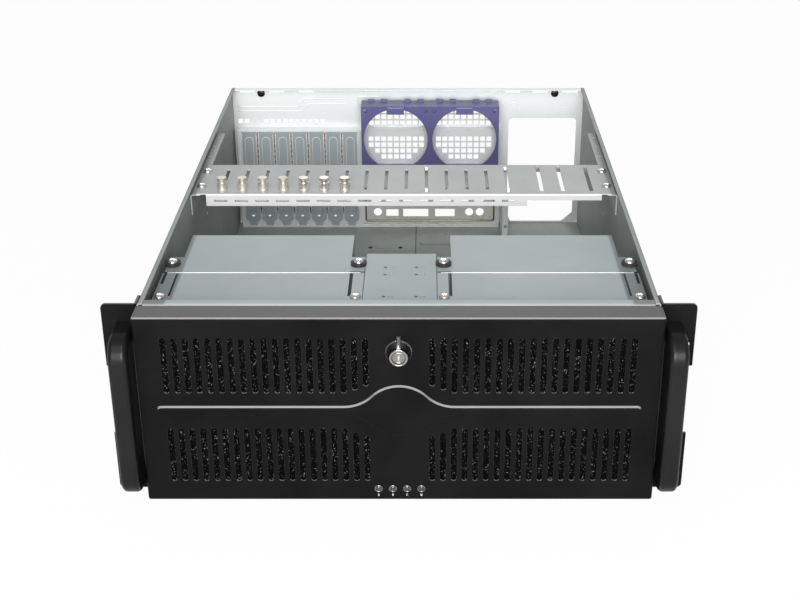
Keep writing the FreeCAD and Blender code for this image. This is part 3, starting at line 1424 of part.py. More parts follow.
def card_clamp(index):
    """Knurled thumbscrew with the folded clamp plate that it draws up under the bar."""
    x = bar_slot_x(index)
    y = FRONT + BAR_SLOT_START + BAR_SLOT_WIDTH / 2
    shank = BAR_SLOT_WIDTH / 2 - CLAMP_SHANK_GAP
    collar = BAR_TOP + CLAMP_COLLAR_HEIGHT
    knob = collar + CLAMP_KNOB_HEIGHT
    neck = knob + CLAMP_NECK_HEIGHT
    cap = neck + CLAMP_CAP_HEIGHT
    outline = (
        (shank, BAR_UNDER - CLAMP_PLATE_SHEET),
        (shank, BAR_TOP),
        (CLAMP_COLLAR, BAR_TOP),
        (CLAMP_COLLAR, collar),
        (CLAMP_KNOB, collar),
        (CLAMP_KNOB, knob),
        (CLAMP_NECK, knob),
        (CLAMP_NECK, neck),
        (CLAMP_CAP, neck),
        (CLAMP_CAP, cap),
    )
    screw = lathe("Z", x, y, outline)
    half = CLAMP_PLATE_SHEET / 2
    front = FRONT + BAR_FRONT + BAR_SHEET + FIT_GAP
    path = (
        (front + half, BAR_UNDER - CLAMP_PLATE_DROP),
        (front + half, BAR_UNDER - half),
        (front + 2 * CLAMP_PLATE, BAR_UNDER - half),
    )
    plate = folded_sheet("X", path, CLAMP_PLATE_SHEET, x - CLAMP_PLATE / 2, x + CLAMP_PLATE / 2)
    return screw.fuse(plate)


# ---------------------------------------------------------------- rear fittings
def slot_cover(index):
    """Expansion slot cover: embossed strip, top tab over the ledge and tongue at the foot."""
    x = slot_x(index)
    half = COVER_WIDTH / 2
    front = RECESS_INNER - SLOT_COVER_SHEET
    top = RECESS_TOP - SHEET
    tongue_low = TONGUE_SLOT_HEIGHT - DASH_HEIGHT / 2
    shoulder = SLOT_COVER_LOW + half / 2
    strip = prism(
        "Y",
        (
            (x - half / 2, tongue_low + TINY),
            (x + half / 2, tongue_low + TINY),
            (x + half / 2, SLOT_COVER_LOW),
            (x + half, shoulder),
            (x + half, top),
            (x - half, top),
            (x - half, shoulder),
            (x - half / 2, SLOT_COVER_LOW),
        ),
        front,
        RECESS_INNER,
    )
    tab = block((x - half, x + half), (front, front + SLOT_TAB_REACH), (top - SLOT_COVER_SHEET, top))
    centre = (x, (EMBOSS_LOW + EMBOSS_HIGH) / 2)
    size = (EMBOSS_WIDTH, EMBOSS_HIGH - EMBOSS_LOW)
    raised = slot("Y", centre, size, front - EMBOSS_RISE, RECESS_INNER)
    inner = (size[0] - 2 * EMBOSS_RISE, size[1] - 2 * EMBOSS_RISE)
    hollow = slot("Y", centre, inner, front + SLOT_COVER_SHEET - EMBOSS_RISE, RECESS_INNER + 1)
    vee = prism(
        "Y",
        (
            (x - COVER_VEE, COVER_VEE_HEIGHT + COVER_VEE),
            (x, COVER_VEE_HEIGHT),
            (x + COVER_VEE, COVER_VEE_HEIGHT + COVER_VEE),
        ),
        front - 1,
        RECESS_INNER + 1,
    )
    screw_y = RECESS_FACE + (front + SLOT_TAB_REACH - RECESS_FACE) / 2
    hole = rod("Z", x, screw_y, SCREW_HOLE, top - SLOT_COVER_SHEET - 1, top + 1)
    return strip.fuse([tab, raised]).cut([hollow, vee, hole])


def slot_screws():
    """Screws that hold the covers' tabs up against the ledge, reached from behind."""
    screws = []
    top = RECESS_TOP - SHEET
    seat = top - SLOT_COVER_SHEET
    front = RECESS_INNER - SLOT_COVER_SHEET
    screw_y = RECESS_FACE + (front + SLOT_TAB_REACH - RECESS_FACE) / 2
    for index in range(SLOT_COUNT):
        screws.append(pan_screw("Z", slot_x(index), screw_y, seat, -1, SLOT_COVER_SHEET))
    return screws


def rear_screws():
    """Two screws near the top of the rear panel."""
    height = CASE_HEIGHT - REAR_SCREW_DROP
    screw = pan_screw("Y", REAR_SCREW_PLACE, height, REAR_INNER, -1, SHEET)
    return [screw, mirrored(screw)]


def fan_bracket(side):
    """Snap-in fan frame: round-windowed face, skirt, top clip, hooks and screw bosses."""
    middle = fan_centres()[side]
    half = FAN_SIZE / 2 + FAN_WALL
    x = (middle - half, middle + half)
    front = RECESS_INNER - FAN_DEPTH
    low = FAN_LOW
    high = FAN_LOW + FAN_HEIGHT
    centre = (middle, (low + high) / 2)
    shell = block(x, (front, RECESS_INNER), (low, high))
    inner_x = (x[0] + FAN_SKIRT, x[1] - FAN_SKIRT)
    hollow = block(inner_x, (front + FAN_FACE, RECESS_INNER + 1), (low + FAN_SKIRT, high - FAN_SKIRT))
    frame = shell.cut(hollow)
    frame = frame.cut(rod("Y", centre[0], centre[1], FAN_OPENING, front - 1, front + FAN_FACE + 1))
    clip_x = (middle - CLIP_WIDTH / 2, middle + CLIP_WIDTH / 2)
    clip_path = (
        (front + CLIP_REACH, high + CLIP_SHEET / 2),
        (front - CLIP_REACH, high + CLIP_SHEET / 2),
        (front - CLIP_REACH, high - CLIP_DROP),
    )
    frame = frame.fuse(folded_sheet("X", clip_path, CLIP_SHEET, *clip_x))
    hooks = []
    for share in (-0.72, -0.34, 0.34, 0.72):
        hook_x = middle + share * half
        hooks.append(
            block(
                (hook_x - HOOK_WIDTH / 2, hook_x + HOOK_WIDTH / 2),
                (RECESS_INNER - HOOK_WIDTH, RECESS_INNER - FAN_SKIRT),
                (high - TINY, high + HOOK_HEIGHT),
            )
        )
    frame = frame.fuse(hooks)
    reach = FAN_HOLE_PITCH / 2
    bosses = []
    holes = []
    for side_x in (-1, 1):
        for side_z in (-1, 1):
            u = centre[0] + side_x * reach
            v = centre[1] + side_z * reach
            bosses.append(rod("Y", u, v, FAN_HOLE + FAN_SKIRT, front, front + 2 * FAN_FACE))
            holes.append(rod("Y", u, v, FAN_HOLE, front - 1, front + 2 * FAN_FACE + 1))
    return frame.fuse(bosses).cut(holes)


def io_shield():
    """Stamped connector shield inside its window."""
    front = RECESS_INNER - SHIELD_SHEET
    centre = (IO_CENTRE, IO_BOTTOM + IO_HEIGHT / 2)
    size = (IO_WIDTH - 2 * SHIELD_MARGIN, IO_HEIGHT - 2 * SHIELD_MARGIN)
    plate = rounded_prism(
        "Y", centre, (IO_WIDTH + SHIELD_MARGIN, IO_HEIGHT + SHIELD_MARGIN), 2, front, RECESS_INNER
    )
    step = rounded_prism("Y", centre, size, 2, front - SHIELD_SHEET, RECESS_INNER)
    hollow_size = (size[0] - 2 * SHIELD_SHEET, size[1] - 2 * SHIELD_SHEET)
    hollow = rounded_prism("Y", centre, hollow_size, 1, front, RECESS_INNER + 1)
    shield = plate.fuse(step).cut(hollow)
    low = IO_BOTTOM + SHIELD_MARGIN
    left = IO_CENTRE - IO_WIDTH / 2
    start = front - SHIELD_SHEET - 1
    end = RECESS_INNER + 1
    cuts = []
    for share, height in SHIELD_JACKS:
        cuts.append(rod("Y", left + share * IO_WIDTH, low + height, SHIELD_JACK, start, end))
    for share, height, width, tall in SHIELD_WINDOWS:
        offset = share * IO_WIDTH
        size = (width, tall)
        cuts.append(window("Y", (left + offset, low + height), size, start, end))
    return shield.cut(cuts)


def psu_support():
    """Angle beside the power supply, standing on the floor."""
    half = THIN_SHEET / 2
    front = FRONT + SUPPORT_FRONT
    x = RECESS_RIGHT + THIN_SHEET
    path = (
        (x + half, front + SUPPORT_DEPTH),
        (x + half, front + half),
        (x + SUPPORT_WIDTH, front + half),
    )
    angle = folded_sheet("Z", path, THIN_SHEET, SHEET, SHEET + SUPPORT_HEIGHT)
    foot = block(
        (x, x + SUPPORT_WIDTH), (front + 2, front + SUPPORT_DEPTH), (SHEET, SHEET + THIN_SHEET)
    )
    level = SHEET + SUPPORT_HEIGHT * 0.35
    hole = rod("Y", x + SUPPORT_WIDTH * 0.6, level, SUPPORT_HOLE, front - 1, front + 2)
    return angle.fuse(foot).cut(hole)


# ---------------------------------------------------------------- all pieces
def pieces():
    """Every piece of the case by name; a group of loose fasteners is a list of solids."""
    made = {
        "chassis_tub": chassis_tub(),
        "rear_panel": rear_panel(),
        "front_panel": front_panel(),
        "front_deck": front_deck(),
        "cage_right": cage_right(),
        "cage_washers": cage_washers(),
        "cage_screws": cage_screws(),
        "deck_screws": deck_screws(),
        "control_plate": control_plate(),
        "power_button": push_button(POWER_RADIUS, POWER_HEIGHT),
        "reset_button": push_button(RESET_RADIUS, RESET_HEIGHT),
        "door": door(),
        "indicator_lamps": indicator_lamps(),
        "foam_filter_left": foam_filter(-1),
        "foam_filter_right": foam_filter(1),
        "filter_frame": filter_frame(),
        "lock_body": lock_body(),
        "lock_barrel": lock_barrel(),
        "lock_nut": lock_nut(),
        "lock_cam": lock_cam(),
        "hinge_pins": hinge_pins(),
        "ear_right": ear_right(),
        "handle_right": handle_right(),
        "handle_screws": handle_screws(),
        "card_bar": card_bar(),
        "bar_bracket_right": bar_bracket_right(),
        "bar_screws": bar_screws(),
        "slot_screws": slot_screws(),
        "rear_screws": rear_screws(),
        "fan_bracket_left": fan_bracket(0),
        "fan_bracket_right": fan_bracket(1),
        "io_shield": io_shield(),
        "psu_support": psu_support(),
    }
    for name in ("cage", "ear", "handle", "bar_bracket"):
        made[name + "_left"] = mirrored(made[name + "_right"])
    number = 0
    for side in (-1, 1):
        for bay in range(BAY_COUNT):
            number += 1
            made["bay_cover_" + str(number)] = bay_cover(side, bay)
    for index in range(CLAMP_COUNT):
        made["card_clamp_" + str(index + 1)] = card_clamp(index)
    for index in range(SLOT_COUNT):
        made["slot_cover_" + str(index + 1)] = slot_cover(index)
    return made


os.makedirs("parts", exist_ok=True)
for node, shape in pieces().items():
    if isinstance(shape, list):
        shape = Part.makeCompound(shape)
    shape.exportStep("parts/" + node + ".step")
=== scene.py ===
"""Looks of an empty rackmount server case, built around its fixed CAD frame.

Every length is in metres in the frame's own axes: X to the right seen from the front,
Y from the front handles to the rear panel, Z up. The CAD nodes get their finishes here, and
detailed screws and foam stand for seven of them. Smaller details that the CAD leaves out
are added: knurling, lamp rims and numbers, contact springs, press lines, hems, a floor seam
and the lock's trim.
"""

import json
import logging
import math
from dataclasses import dataclass, field
from enum import Enum
from functools import lru_cache
from typing import Callable, Dict, List, Optional, Sequence, Tuple

import bmesh
import bpy
import numpy as np
from mathutils import Matrix, Vector


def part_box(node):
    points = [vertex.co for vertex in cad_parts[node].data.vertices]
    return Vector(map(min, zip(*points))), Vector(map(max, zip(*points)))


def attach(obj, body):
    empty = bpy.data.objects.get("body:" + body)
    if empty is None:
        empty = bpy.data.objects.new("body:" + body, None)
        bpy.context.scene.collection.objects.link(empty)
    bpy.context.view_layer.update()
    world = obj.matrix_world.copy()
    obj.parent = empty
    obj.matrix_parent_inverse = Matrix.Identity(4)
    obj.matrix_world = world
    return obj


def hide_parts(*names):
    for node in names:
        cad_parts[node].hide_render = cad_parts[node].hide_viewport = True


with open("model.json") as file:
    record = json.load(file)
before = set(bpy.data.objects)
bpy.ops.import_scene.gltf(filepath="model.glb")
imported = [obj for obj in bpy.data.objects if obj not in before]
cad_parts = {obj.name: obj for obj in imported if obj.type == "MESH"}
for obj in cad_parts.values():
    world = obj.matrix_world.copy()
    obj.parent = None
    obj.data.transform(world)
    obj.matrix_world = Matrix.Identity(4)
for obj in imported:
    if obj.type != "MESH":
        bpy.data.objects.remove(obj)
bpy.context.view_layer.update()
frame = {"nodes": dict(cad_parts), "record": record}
LOG = logging.getLogger("server_case")

Colour = Tuple[float, float, float]
Point = Tuple[float, float, float]
Socket = bpy.types.NodeSocket
Node = bpy.types.Node
Piece = bpy.types.Object
Pieces = List[Piece]
Array = np.ndarray
MM = 0.001
AXIS_X, AXIS_Y, AXIS_Z = (1.0, 0.0, 0.0), (0.0, 1.0, 0.0), (0.0, 0.0, 1.0)
# Crease angle of pieces that are smooth all over, and the radius that the edge mask rounds by.
SMOOTH = 180.0
EDGE_RADIUS = 0.0007
# Gaps in a node's points that part two solids: across the solids' axis, and along it.
CROSS_GAP = 3.5 * MM
LONG_GAP = 9.0 * MM


# ---- Shader helpers


class Tree:
    """A thin wrapper that adds and joins the nodes of one material or node group."""

    def __init__(self, tree: bpy.types.NodeTree) -> None:
        """Keep the node tree that is filled."""
        self.tree = tree

    def add(self, kind: str, **values: object) -> Node:
        """Add one node and set its options and unlinked inputs.

        Args:
            kind: the node's Blender type name.
            values: options by attribute name, or inputs by name with spaces as underscores.

        Returns:
            The new node.
        """
        node = self.tree.nodes.new(kind)
        for name, value in values.items():
            if hasattr(node, name):
                setattr(node, name, value)
            else:
                node.inputs[name.replace("_", " ")].default_value = value
        return node

    def join(self, source: Socket, target: Socket) -> None:
        """Link one output to one input."""
        self.tree.links.new(source, target)

    def math(self, operation: str, first: object, second: object = 0.0) -> Socket:
        """Add a Math node.

        Args:
            operation: the node's operation name.
            first: a socket or a number.
            second: a socket or a number.

        Returns:
            The node's output socket.
        """
        node = self.tree.nodes.new("ShaderNodeMath")
        node.operation = operation
        for socket, value in zip(node.inputs, (first, second)):
            if isinstance(value, (int, float)):
                socket.default_value = value
            else:
                self.join(value, socket)
        return node.outputs[0]

    def span(self, value: Socket, low: float, high: float,
             out_low: float = 0.0, out_high: float = 1.0) -> Socket:
        """Stretch a value's range low..high to out_low..out_high, clamped.

        Args:
            value: the socket to stretch.
            low: input value that gives out_low.
            high: input value that gives out_high.
            out_low: output at low.
            out_high: output at high.

        Returns:
            The stretched value's socket.
        """
        node = self.tree.nodes.new("ShaderNodeMapRange")
        self.join(value, node.inputs["Value"])
        for name, number in zip(("From Min", "From Max", "To Min", "To Max"),
                                (low, high, out_low, out_high)):
            node.inputs[name].default_value = number
        return node.outputs["Result"]

    def blend(self, share: object, first: object, second: object) -> Socket:
        """Mix two colours.

        Args:
            share: socket or number, 0 for the first colour and 1 for the second.
            first: a socket or a colour.
            second: a socket or a colour.

        Returns:
            The mixed colour's socket.
        """
        node = self.tree.nodes.new("ShaderNodeMix")
        node.data_type = "RGBA"
        for socket, value in zip((node.inputs[0], node.inputs[6], node.inputs[7]),
                                 (share, first, second)):
            if isinstance(value, Socket):
                self.join(value, socket)
            elif isinstance(value, (int, float)):
                socket.default_value = value
            else:
                socket.default_value = (*value, 1.0)
        return node.outputs[2]

    def read(self, kind: str, output: str) -> Socket:
        """Return one output of a new node."""
        return self.add(kind).outputs[output]

    def place(self) -> Socket:
        """Return the coordinates of the shaded point on its object."""
        return self.read("ShaderNodeTexCoord", "Object")

    def noise(self, place: Socket, **values: object) -> Socket:
        """Add a Noise node.

        Args:
            place: the coordinates that it is read at.
            values: its inputs by name.

        Returns:
            The noise's value.
        """
        node = self.add("ShaderNodeTexNoise", **values)
        self.join(place, node.inputs["Vector"])
        return node.outputs[0]

    def coordinate(self, kind: str, output: str, axis: str) -> Socket:
        """Split a vector that a new node gives.

        Args:
            kind: the node's Blender type name.
            output: the name of its output.
            axis: "X", "Y" or "Z".

        Returns:
            The vector's coordinate on that axis.
        """
        split = self.add("ShaderNodeSeparateXYZ")
        self.join(self.read(kind, output), split.inputs[0])
        return split.outputs[axis]

    def group(self, shared: bpy.types.NodeTree, **values: object) -> Node:
        """Add the node of a shared group.

        Args:
            shared: the group.
            values: its inputs by name.

        Returns:
            The group's node.
        """
        node = self.add("ShaderNodeGroup")
        node.node_tree = shared
        for name, value in values.items():
            node.inputs[name].default_value = value
        return node

    def camera_ray(self) -> Socket:
        """Return a mask that is 1 for rays from the camera."""
        return self.read("ShaderNodeLightPath", "Is Camera Ray")


def new_group(name: str, inputs: Sequence[Tuple[str, str, object]],
              outputs: Sequence[Tuple[str, str]]) -> bpy.types.NodeTree:
    """Make an empty shader node group with named sockets.

    Args:
        name: the group's name.
        inputs: name, socket type and default of each input.
        outputs: name and socket type of each output.

    Returns:
        The group, with its input and output nodes in place.
    """
    group = bpy.data.node_groups.new(name, "ShaderNodeTree")
    for label, kind, default in inputs:
        socket = group.interface.new_socket(name=label, in_out="INPUT", socket_type=kind)
        socket.default_value = default
    for label, kind in outputs:
        group.interface.new_socket(name=label, in_out="OUTPUT", socket_type=kind)
    group.nodes.new("NodeGroupInput")
    group.nodes.new("NodeGroupOutput")
    return group


FLOAT = "NodeSocketFloat"
COLOUR = "NodeSocketColor"
VECTOR = "NodeSocketVector"


@lru_cache(maxsize=None)
def zinc_group() -> bpy.types.NodeTree:
    """Zinc-coated sheet: faint rolling grain, cloudy tone and small stains.

    Grain is fine noise stretched by Stretch, cloud is soft noise, and stain is thresholded
    noise. Tone = grain * Grain + 0.75 * cloud + stain * Stains goes from Light to Dark.

    Returns:
        The group, with Colour, Roughness and Height outputs.
    """
    group = new_group(
        "Zinc sheet",
        [("Light", COLOUR, (0.7, 0.7, 0.7, 1)), ("Dark", COLOUR, (0.5, 0.5, 0.5, 1)),
         ("Stretch", VECTOR, (1, 1, 1)), ("Grain", FLOAT, 0.3), ("Stains", FLOAT, 0.2),
         ("Roughness", FLOAT, 0.4)],
        [("Colour", COLOUR), ("Roughness", FLOAT), ("Height", FLOAT)],
    )
    tree = Tree(group)
    given, out = group.nodes["Group Input"], group.nodes["Group Output"]
    place = tree.place()
    scaled = tree.add("ShaderNodeVectorMath", operation="MULTIPLY")
    tree.join(place, scaled.inputs[0])
    tree.join(given.outputs["Stretch"], scaled.inputs[1])
    grain = tree.noise(scaled.outputs[0], Scale=900.0, Detail=3.0)
    cloud = tree.noise(place, Scale=9.0, Detail=4.0, Roughness=0.6)
    stain = tree.span(tree.noise(place, Scale=55.0, Detail=5.0, Roughness=0.7), 0.6, 0.74)
    tone = tree.math("ADD", tree.math("MULTIPLY", grain, given.outputs["Grain"]),
                     tree.math("MULTIPLY", cloud, 0.75))
    tone = tree.math("ADD", tone, tree.math("MULTIPLY", stain, given.outputs["Stains"]))
    colour = tree.blend(tree.span(tone, 0.3, 0.85), given.outputs["Light"], given.outputs["Dark"])
    tree.join(colour, out.inputs["Colour"])
    rough = tree.math("MULTIPLY", tree.span(tone, 0.2, 1.0, 0.8, 1.3), given.outputs["Roughness"])
    tree.join(rough, out.inputs["Roughness"])
    tree.join(grain, out.inputs["Height"])
    return group


@lru_cache(maxsize=None)
def grit_group() -> bpy.types.NodeTree:
    """Fine cast or sprayed texture: two noises mixed into one height and a tone mask.

    Height = 0.7 * fine + 0.3 * coarse, and tone = coarse stretched to 0..1.

    Returns:
        The group, with Height and Tone outputs.
    """
    group = new_group("Fine grit", [("Scale", FLOAT, 1500.0)], [("Height", FLOAT), ("Tone", FLOAT)])
    tree = Tree(group)
    given, out = group.nodes["Group Input"], group.nodes["Group Output"]
    place = tree.place()
    fine = tree.noise(place, Detail=2.0)
    tree.join(given.outputs["Scale"], fine.node.inputs["Scale"])
    coarse = tree.noise(place, Scale=14.0, Detail=4.0)
    height = tree.math("ADD", tree.math("MULTIPLY", fine, 0.7), tree.math("MULTIPLY", coarse, 0.3))
    tree.join(height, out.inputs["Height"])
    tree.join(tree.span(coarse, 0.35, 0.68), out.inputs["Tone"])
    return group


@lru_cache(maxsize=None)
def edge_group() -> bpy.types.NodeTree:
    """Edge mask: 1 where the surface bends sharply, broken up by noise. Finishes lighten edges by it,
    as wear and as painted highlight.

    Bend = 1 - dot(rounded normal, surface normal), with edges rounded over EDGE_RADIUS.

    Returns:
        The group, with a Mask output.
    """
    group = new_group("Worn and highlit edge", [("Amount", FLOAT, 1.0)], [("Mask", FLOAT)])
    tree = Tree(group)
    given, out = group.nodes["Group Input"], group.nodes["Group Output"]
    rounded = tree.add("ShaderNodeBevel", samples=4)
    rounded.inputs["Radius"].default_value = EDGE_RADIUS
    dot = tree.add("ShaderNodeVectorMath", operation="DOT_PRODUCT")
    tree.join(rounded.outputs[0], dot.inputs[0])
    tree.join(tree.read("ShaderNodeNewGeometry", "Normal"), dot.inputs[1])
    bend = tree.span(tree.math("SUBTRACT", 1.0, dot.outputs["Value"]), 0.02, 0.14)
    noise = tree.span(tree.noise(tree.place(), Scale=180.0, Detail=3.0), 0.3, 0.6)
    broken = tree.math("MULTIPLY", bend, noise)
    tree.join(tree.math("MULTIPLY", broken, given.outputs["Amount"]), out.inputs["Mask"])
    return group


def new_material(name: str) -> Tuple[bpy.types.Material, Tree, Node]:
    """Make an empty material with its Principled shader linked to the output.

    Args:
        name: the material's name.

    Returns:
        The material, its tree and its Principled node.
    """
    material = bpy.data.materials.new(name)
    material.use_nodes = True
    tree = Tree(material.node_tree)
    return material, tree, material.node_tree.nodes["Principled BSDF"]


def bump(tree: Tree, shader: Node, height: Socket, strength: float, distance: float) -> None:
    """Feed a height through a Bump node into the shader's normal.

    Args:
        tree: the material's tree.
        shader: the Principled node.
        height: the height socket.
        strength: the bump's strength.
        distance: the height of a full step, in metres.
    """
    node = tree.add("ShaderNodeBump", Strength=strength, Distance=distance)
    tree.join(height, node.inputs["Height"])
    tree.join(node.outputs[0], shader.inputs["Normal"])


# ---- Finishes


class Grain(Enum):
    """Stretch of a sheet's rolling grain, which runs along the axis of the smallest number."""

    ACROSS = (0.06, 1.0, 1.0)
    ALONG = (1.0, 0.06, 1.0)
    NONE = (0.6, 0.6, 0.6)


@dataclass(frozen=True)
class Finish:
    """A named finish, which the kinds below fill."""

    name: str

    def _fill(self, tree: Tree, shader: Node) -> None:
        """Join the finish's nodes to the Principled shader."""
        raise NotImplementedError(self.name)

    def _roughen(self, tree: Tree, shader: Node, grit: Node) -> None:
        """Give the surface the grit's roughness and bump.

        Roughness runs over the finish's spread times its roughness as the grit's tone goes
        from 0 to 1.

        Args:
            tree: the material's tree.
            shader: the Principled node.
            grit: the grit group's node.
        """
        smooth, rough = (self.roughness * share for share in self.spread)
        tree.join(tree.span(grit.outputs["Tone"], 0.0, 1.0, smooth, rough), shader.inputs["Roughness"])
        bump(tree, shader, grit.outputs["Height"], self.depth, self.step)

    def build(self) -> bpy.types.Material:
        """Make the material.

        Returns:
            The finished material.
        """
        material, tree, shader = new_material(self.name)
        self._fill(tree, shader)
        return material


@dataclass(frozen=True)
class ZincSheet(Finish):
    """Zinc-coated steel sheet.

    Folds that face the front take painted_front_tone: painted shade on the deck, painted light on
    the bar. The strips further than shade_border from the middle are darkened as painted shade.
    Zero leaves either out.
    """

    light: Colour
    dark: Colour
    grain: Grain = Grain.ACROSS
    metallic: float = 0.55
    roughness: float = 0.42
    grain_depth: float = 0.3
    stains: float = 0.15
    # Painted light and shade by place: a flat tone on front-facing folds, and painted shade on the side
    # strips.
    painted_front_tone: float = 0.0
    painted_front_span: Tuple[float, float] = (-0.9, -0.5)
    shade_border: float = 0.0
    shade_border_fade: float = 0.002
    shade_border_share: float = 0.6
    painted_shade_colour: Colour = (0.07, 0.078, 0.075)
    # Edge lightening: partly wear, partly painted highlight.
    wear_and_highlight: float = 0.45
    worn_and_highlight_gain: float = 1.25
    gloss: float = 0.3
    depth: float = 0.12
    step: float = 0.0001

    def _painted_light_and_shade(self, tree: Tree, colour: Socket) -> Socket:
        """Paint light and shade on the front-facing folds, and paint shade on the strips beyond the border.

        Args:
            tree: the material's tree.
            colour: the bare sheet's colour.

        Returns:
            The toned colour.
        """
        # Painted shade: the strips beyond the border are darkened.
        if self.shade_border > 0.0:
            aside = tree.math("ABSOLUTE", tree.coordinate("ShaderNodeTexCoord", "Object", "X"))
            shaded_strip = tree.span(aside, self.shade_border, self.shade_border + self.shade_border_fade)
            colour = tree.blend(tree.math("MULTIPLY", shaded_strip, self.shade_border_share), colour, self.painted_shade_colour)
        # Painted light and shade on folds that face the front: one flat tone by the normal's Y.
        if self.painted_front_tone > 0.0:
            forward = tree.coordinate("ShaderNodeNewGeometry", "True Normal", "Y")
            painted_front_mask = tree.span(forward, *self.painted_front_span, 1.0, 0.0)
            colour = tree.blend(painted_front_mask, colour, (self.painted_front_tone,) * 3)
        return colour

    def _fill(self, tree: Tree, shader: Node) -> None:
        """Join the sheet's nodes to the shader.

        Args:
            tree: the material's tree.
            shader: the Principled node.
        """
        sheet = tree.group(zinc_group(), Light=(*self.light, 1), Dark=(*self.dark, 1),
                           Stretch=self.grain.value, Grain=self.grain_depth,
                           Stains=self.stains, Roughness=self.roughness)
        # Edges lightened by the mask: partly wear, partly painted highlight.
        edge = tree.group(edge_group(), Amount=self.wear_and_highlight)
        bright = tuple(min(1.0, channel * self.worn_and_highlight_gain) for channel in self.light)
        colour = tree.blend(edge.outputs["Mask"], sheet.outputs["Colour"], bright)
        tree.join(self._painted_light_and_shade(tree, colour), shader.inputs["Base Color"])
        tree.join(sheet.outputs["Roughness"], shader.inputs["Roughness"])
        shader.inputs["Metallic"].default_value = self.metallic
        shader.inputs["Specular IOR Level"].default_value = self.gloss
        bump(tree, shader, sheet.outputs["Height"], self.depth, self.step)


@dataclass(frozen=True)
class BlackCoat(Finish):
    """Satin powder coat on steel, with a fine pebble and edges lightened by wear and painted highlight.

    Slopes that face up take painted_slope_highlight and flat tops take painted_top_light, painted
    light by the height of their normal. A painted_slope_highlight of zero leaves both out.
    """

    colour: Colour
    worn_and_highlight_colour: Colour
    roughness: float = 0.42
    spread: Tuple[float, float] = (0.92, 1.12)
    tone_gain: float = 1.35
    tone_lift: float = 0.002
    pebble: float = 1400.0
    depth: float = 0.25
    step: float = 0.0002
    # Edge lightening: partly wear, partly painted highlight.
    wear_and_highlight: float = 0.5
    gloss: float = 0.25
    # Painted highlight on up-facing slopes, painted light on flat tops.
    painted_slope_highlight: float = 0.0
    slope_from: Tuple[float, float] = (0.35, 0.6)
    slope_to: Tuple[float, float] = (0.9, 0.97)
    painted_top_light: float = 0.0
    top_from: Tuple[float, float] = (0.95, 0.99)

    def _painted_light_by_rise(self, tree: Tree, base: Socket) -> Socket:
        """Paint light on the coat where it faces up: a highlight on slopes, a lighter tone on flat tops.

        Args:
            tree: the material's tree.
            base: the bare coat's colour.

        Returns:
            The toned colour.
        """
        rise = tree.coordinate("ShaderNodeNewGeometry", "True Normal", "Z")
        # Painted highlight on slopes that face up, and painted light on flat tops.
        highlit_slope = tree.math("MULTIPLY", tree.span(rise, *self.slope_from),
                          tree.span(rise, *self.slope_to, 1.0, 0.0))
        toned = tree.blend(tree.span(rise, *self.top_from), base, (self.painted_top_light,) * 3)
        return tree.blend(highlit_slope, toned, (self.painted_slope_highlight,) * 3)

    def _fill(self, tree: Tree, shader: Node) -> None:
        """Join the coat's nodes to the shader.

        Args:
            tree: the material's tree.
            shader: the Principled node.
        """
        grit = tree.group(grit_group(), Scale=self.pebble)
        edge = tree.group(edge_group(), Amount=self.wear_and_highlight)
        lifted = tuple(channel * self.tone_gain + self.tone_lift for channel in self.colour)
        base = tree.blend(grit.outputs["Tone"], self.colour, lifted)
        # Edges lightened: partly wear, partly painted highlight.
        base = tree.blend(edge.outputs["Mask"], base, self.worn_and_highlight_colour)
        if self.painted_slope_highlight > 0.0:
            base = self._painted_light_by_rise(tree, base)
        tree.join(base, shader.inputs["Base Color"])
        shader.inputs["Specular IOR Level"].default_value = self.gloss
        self._roughen(tree, shader, grit)


@dataclass(frozen=True)
class Moulded(Finish):
    """Moulded plastic or rubber with a fine spark texture."""

    colour: Colour
    second: Colour
    roughness: float = 0.45
    spread: Tuple[float, float] = (0.9, 1.15)
    metallic: float = 0.0
    transmission: float = 0.0
    pebble: float = 1800.0
    depth: float = 0.2
    step: float = 0.00015

    def _fill(self, tree: Tree, shader: Node) -> None:
        """Join the texture's nodes to the shader.

        Args:
            tree: the material's tree.
            shader: the Principled node.
        """
        grit = tree.group(grit_group(), Scale=self.pebble)
        tree.join(tree.blend(grit.outputs["Tone"], self.colour, self.second), shader.inputs["Base Color"])
        shader.inputs["Metallic"].default_value = self.metallic
        shader.inputs["Transmission Weight"].default_value = self.transmission
        self._roughen(tree, shader, grit)


@dataclass(frozen=True)
class Plated(Moulded):
    """Nickel or dark plating on screws, washers, knobs and the lock."""

    roughness: float = 0.2
    spread: Tuple[float, float] = (0.8, 1.5)
    metallic: float = 1.0
    pebble: float = 2600.0
    depth: float = 0.08
    step: float = 0.0001


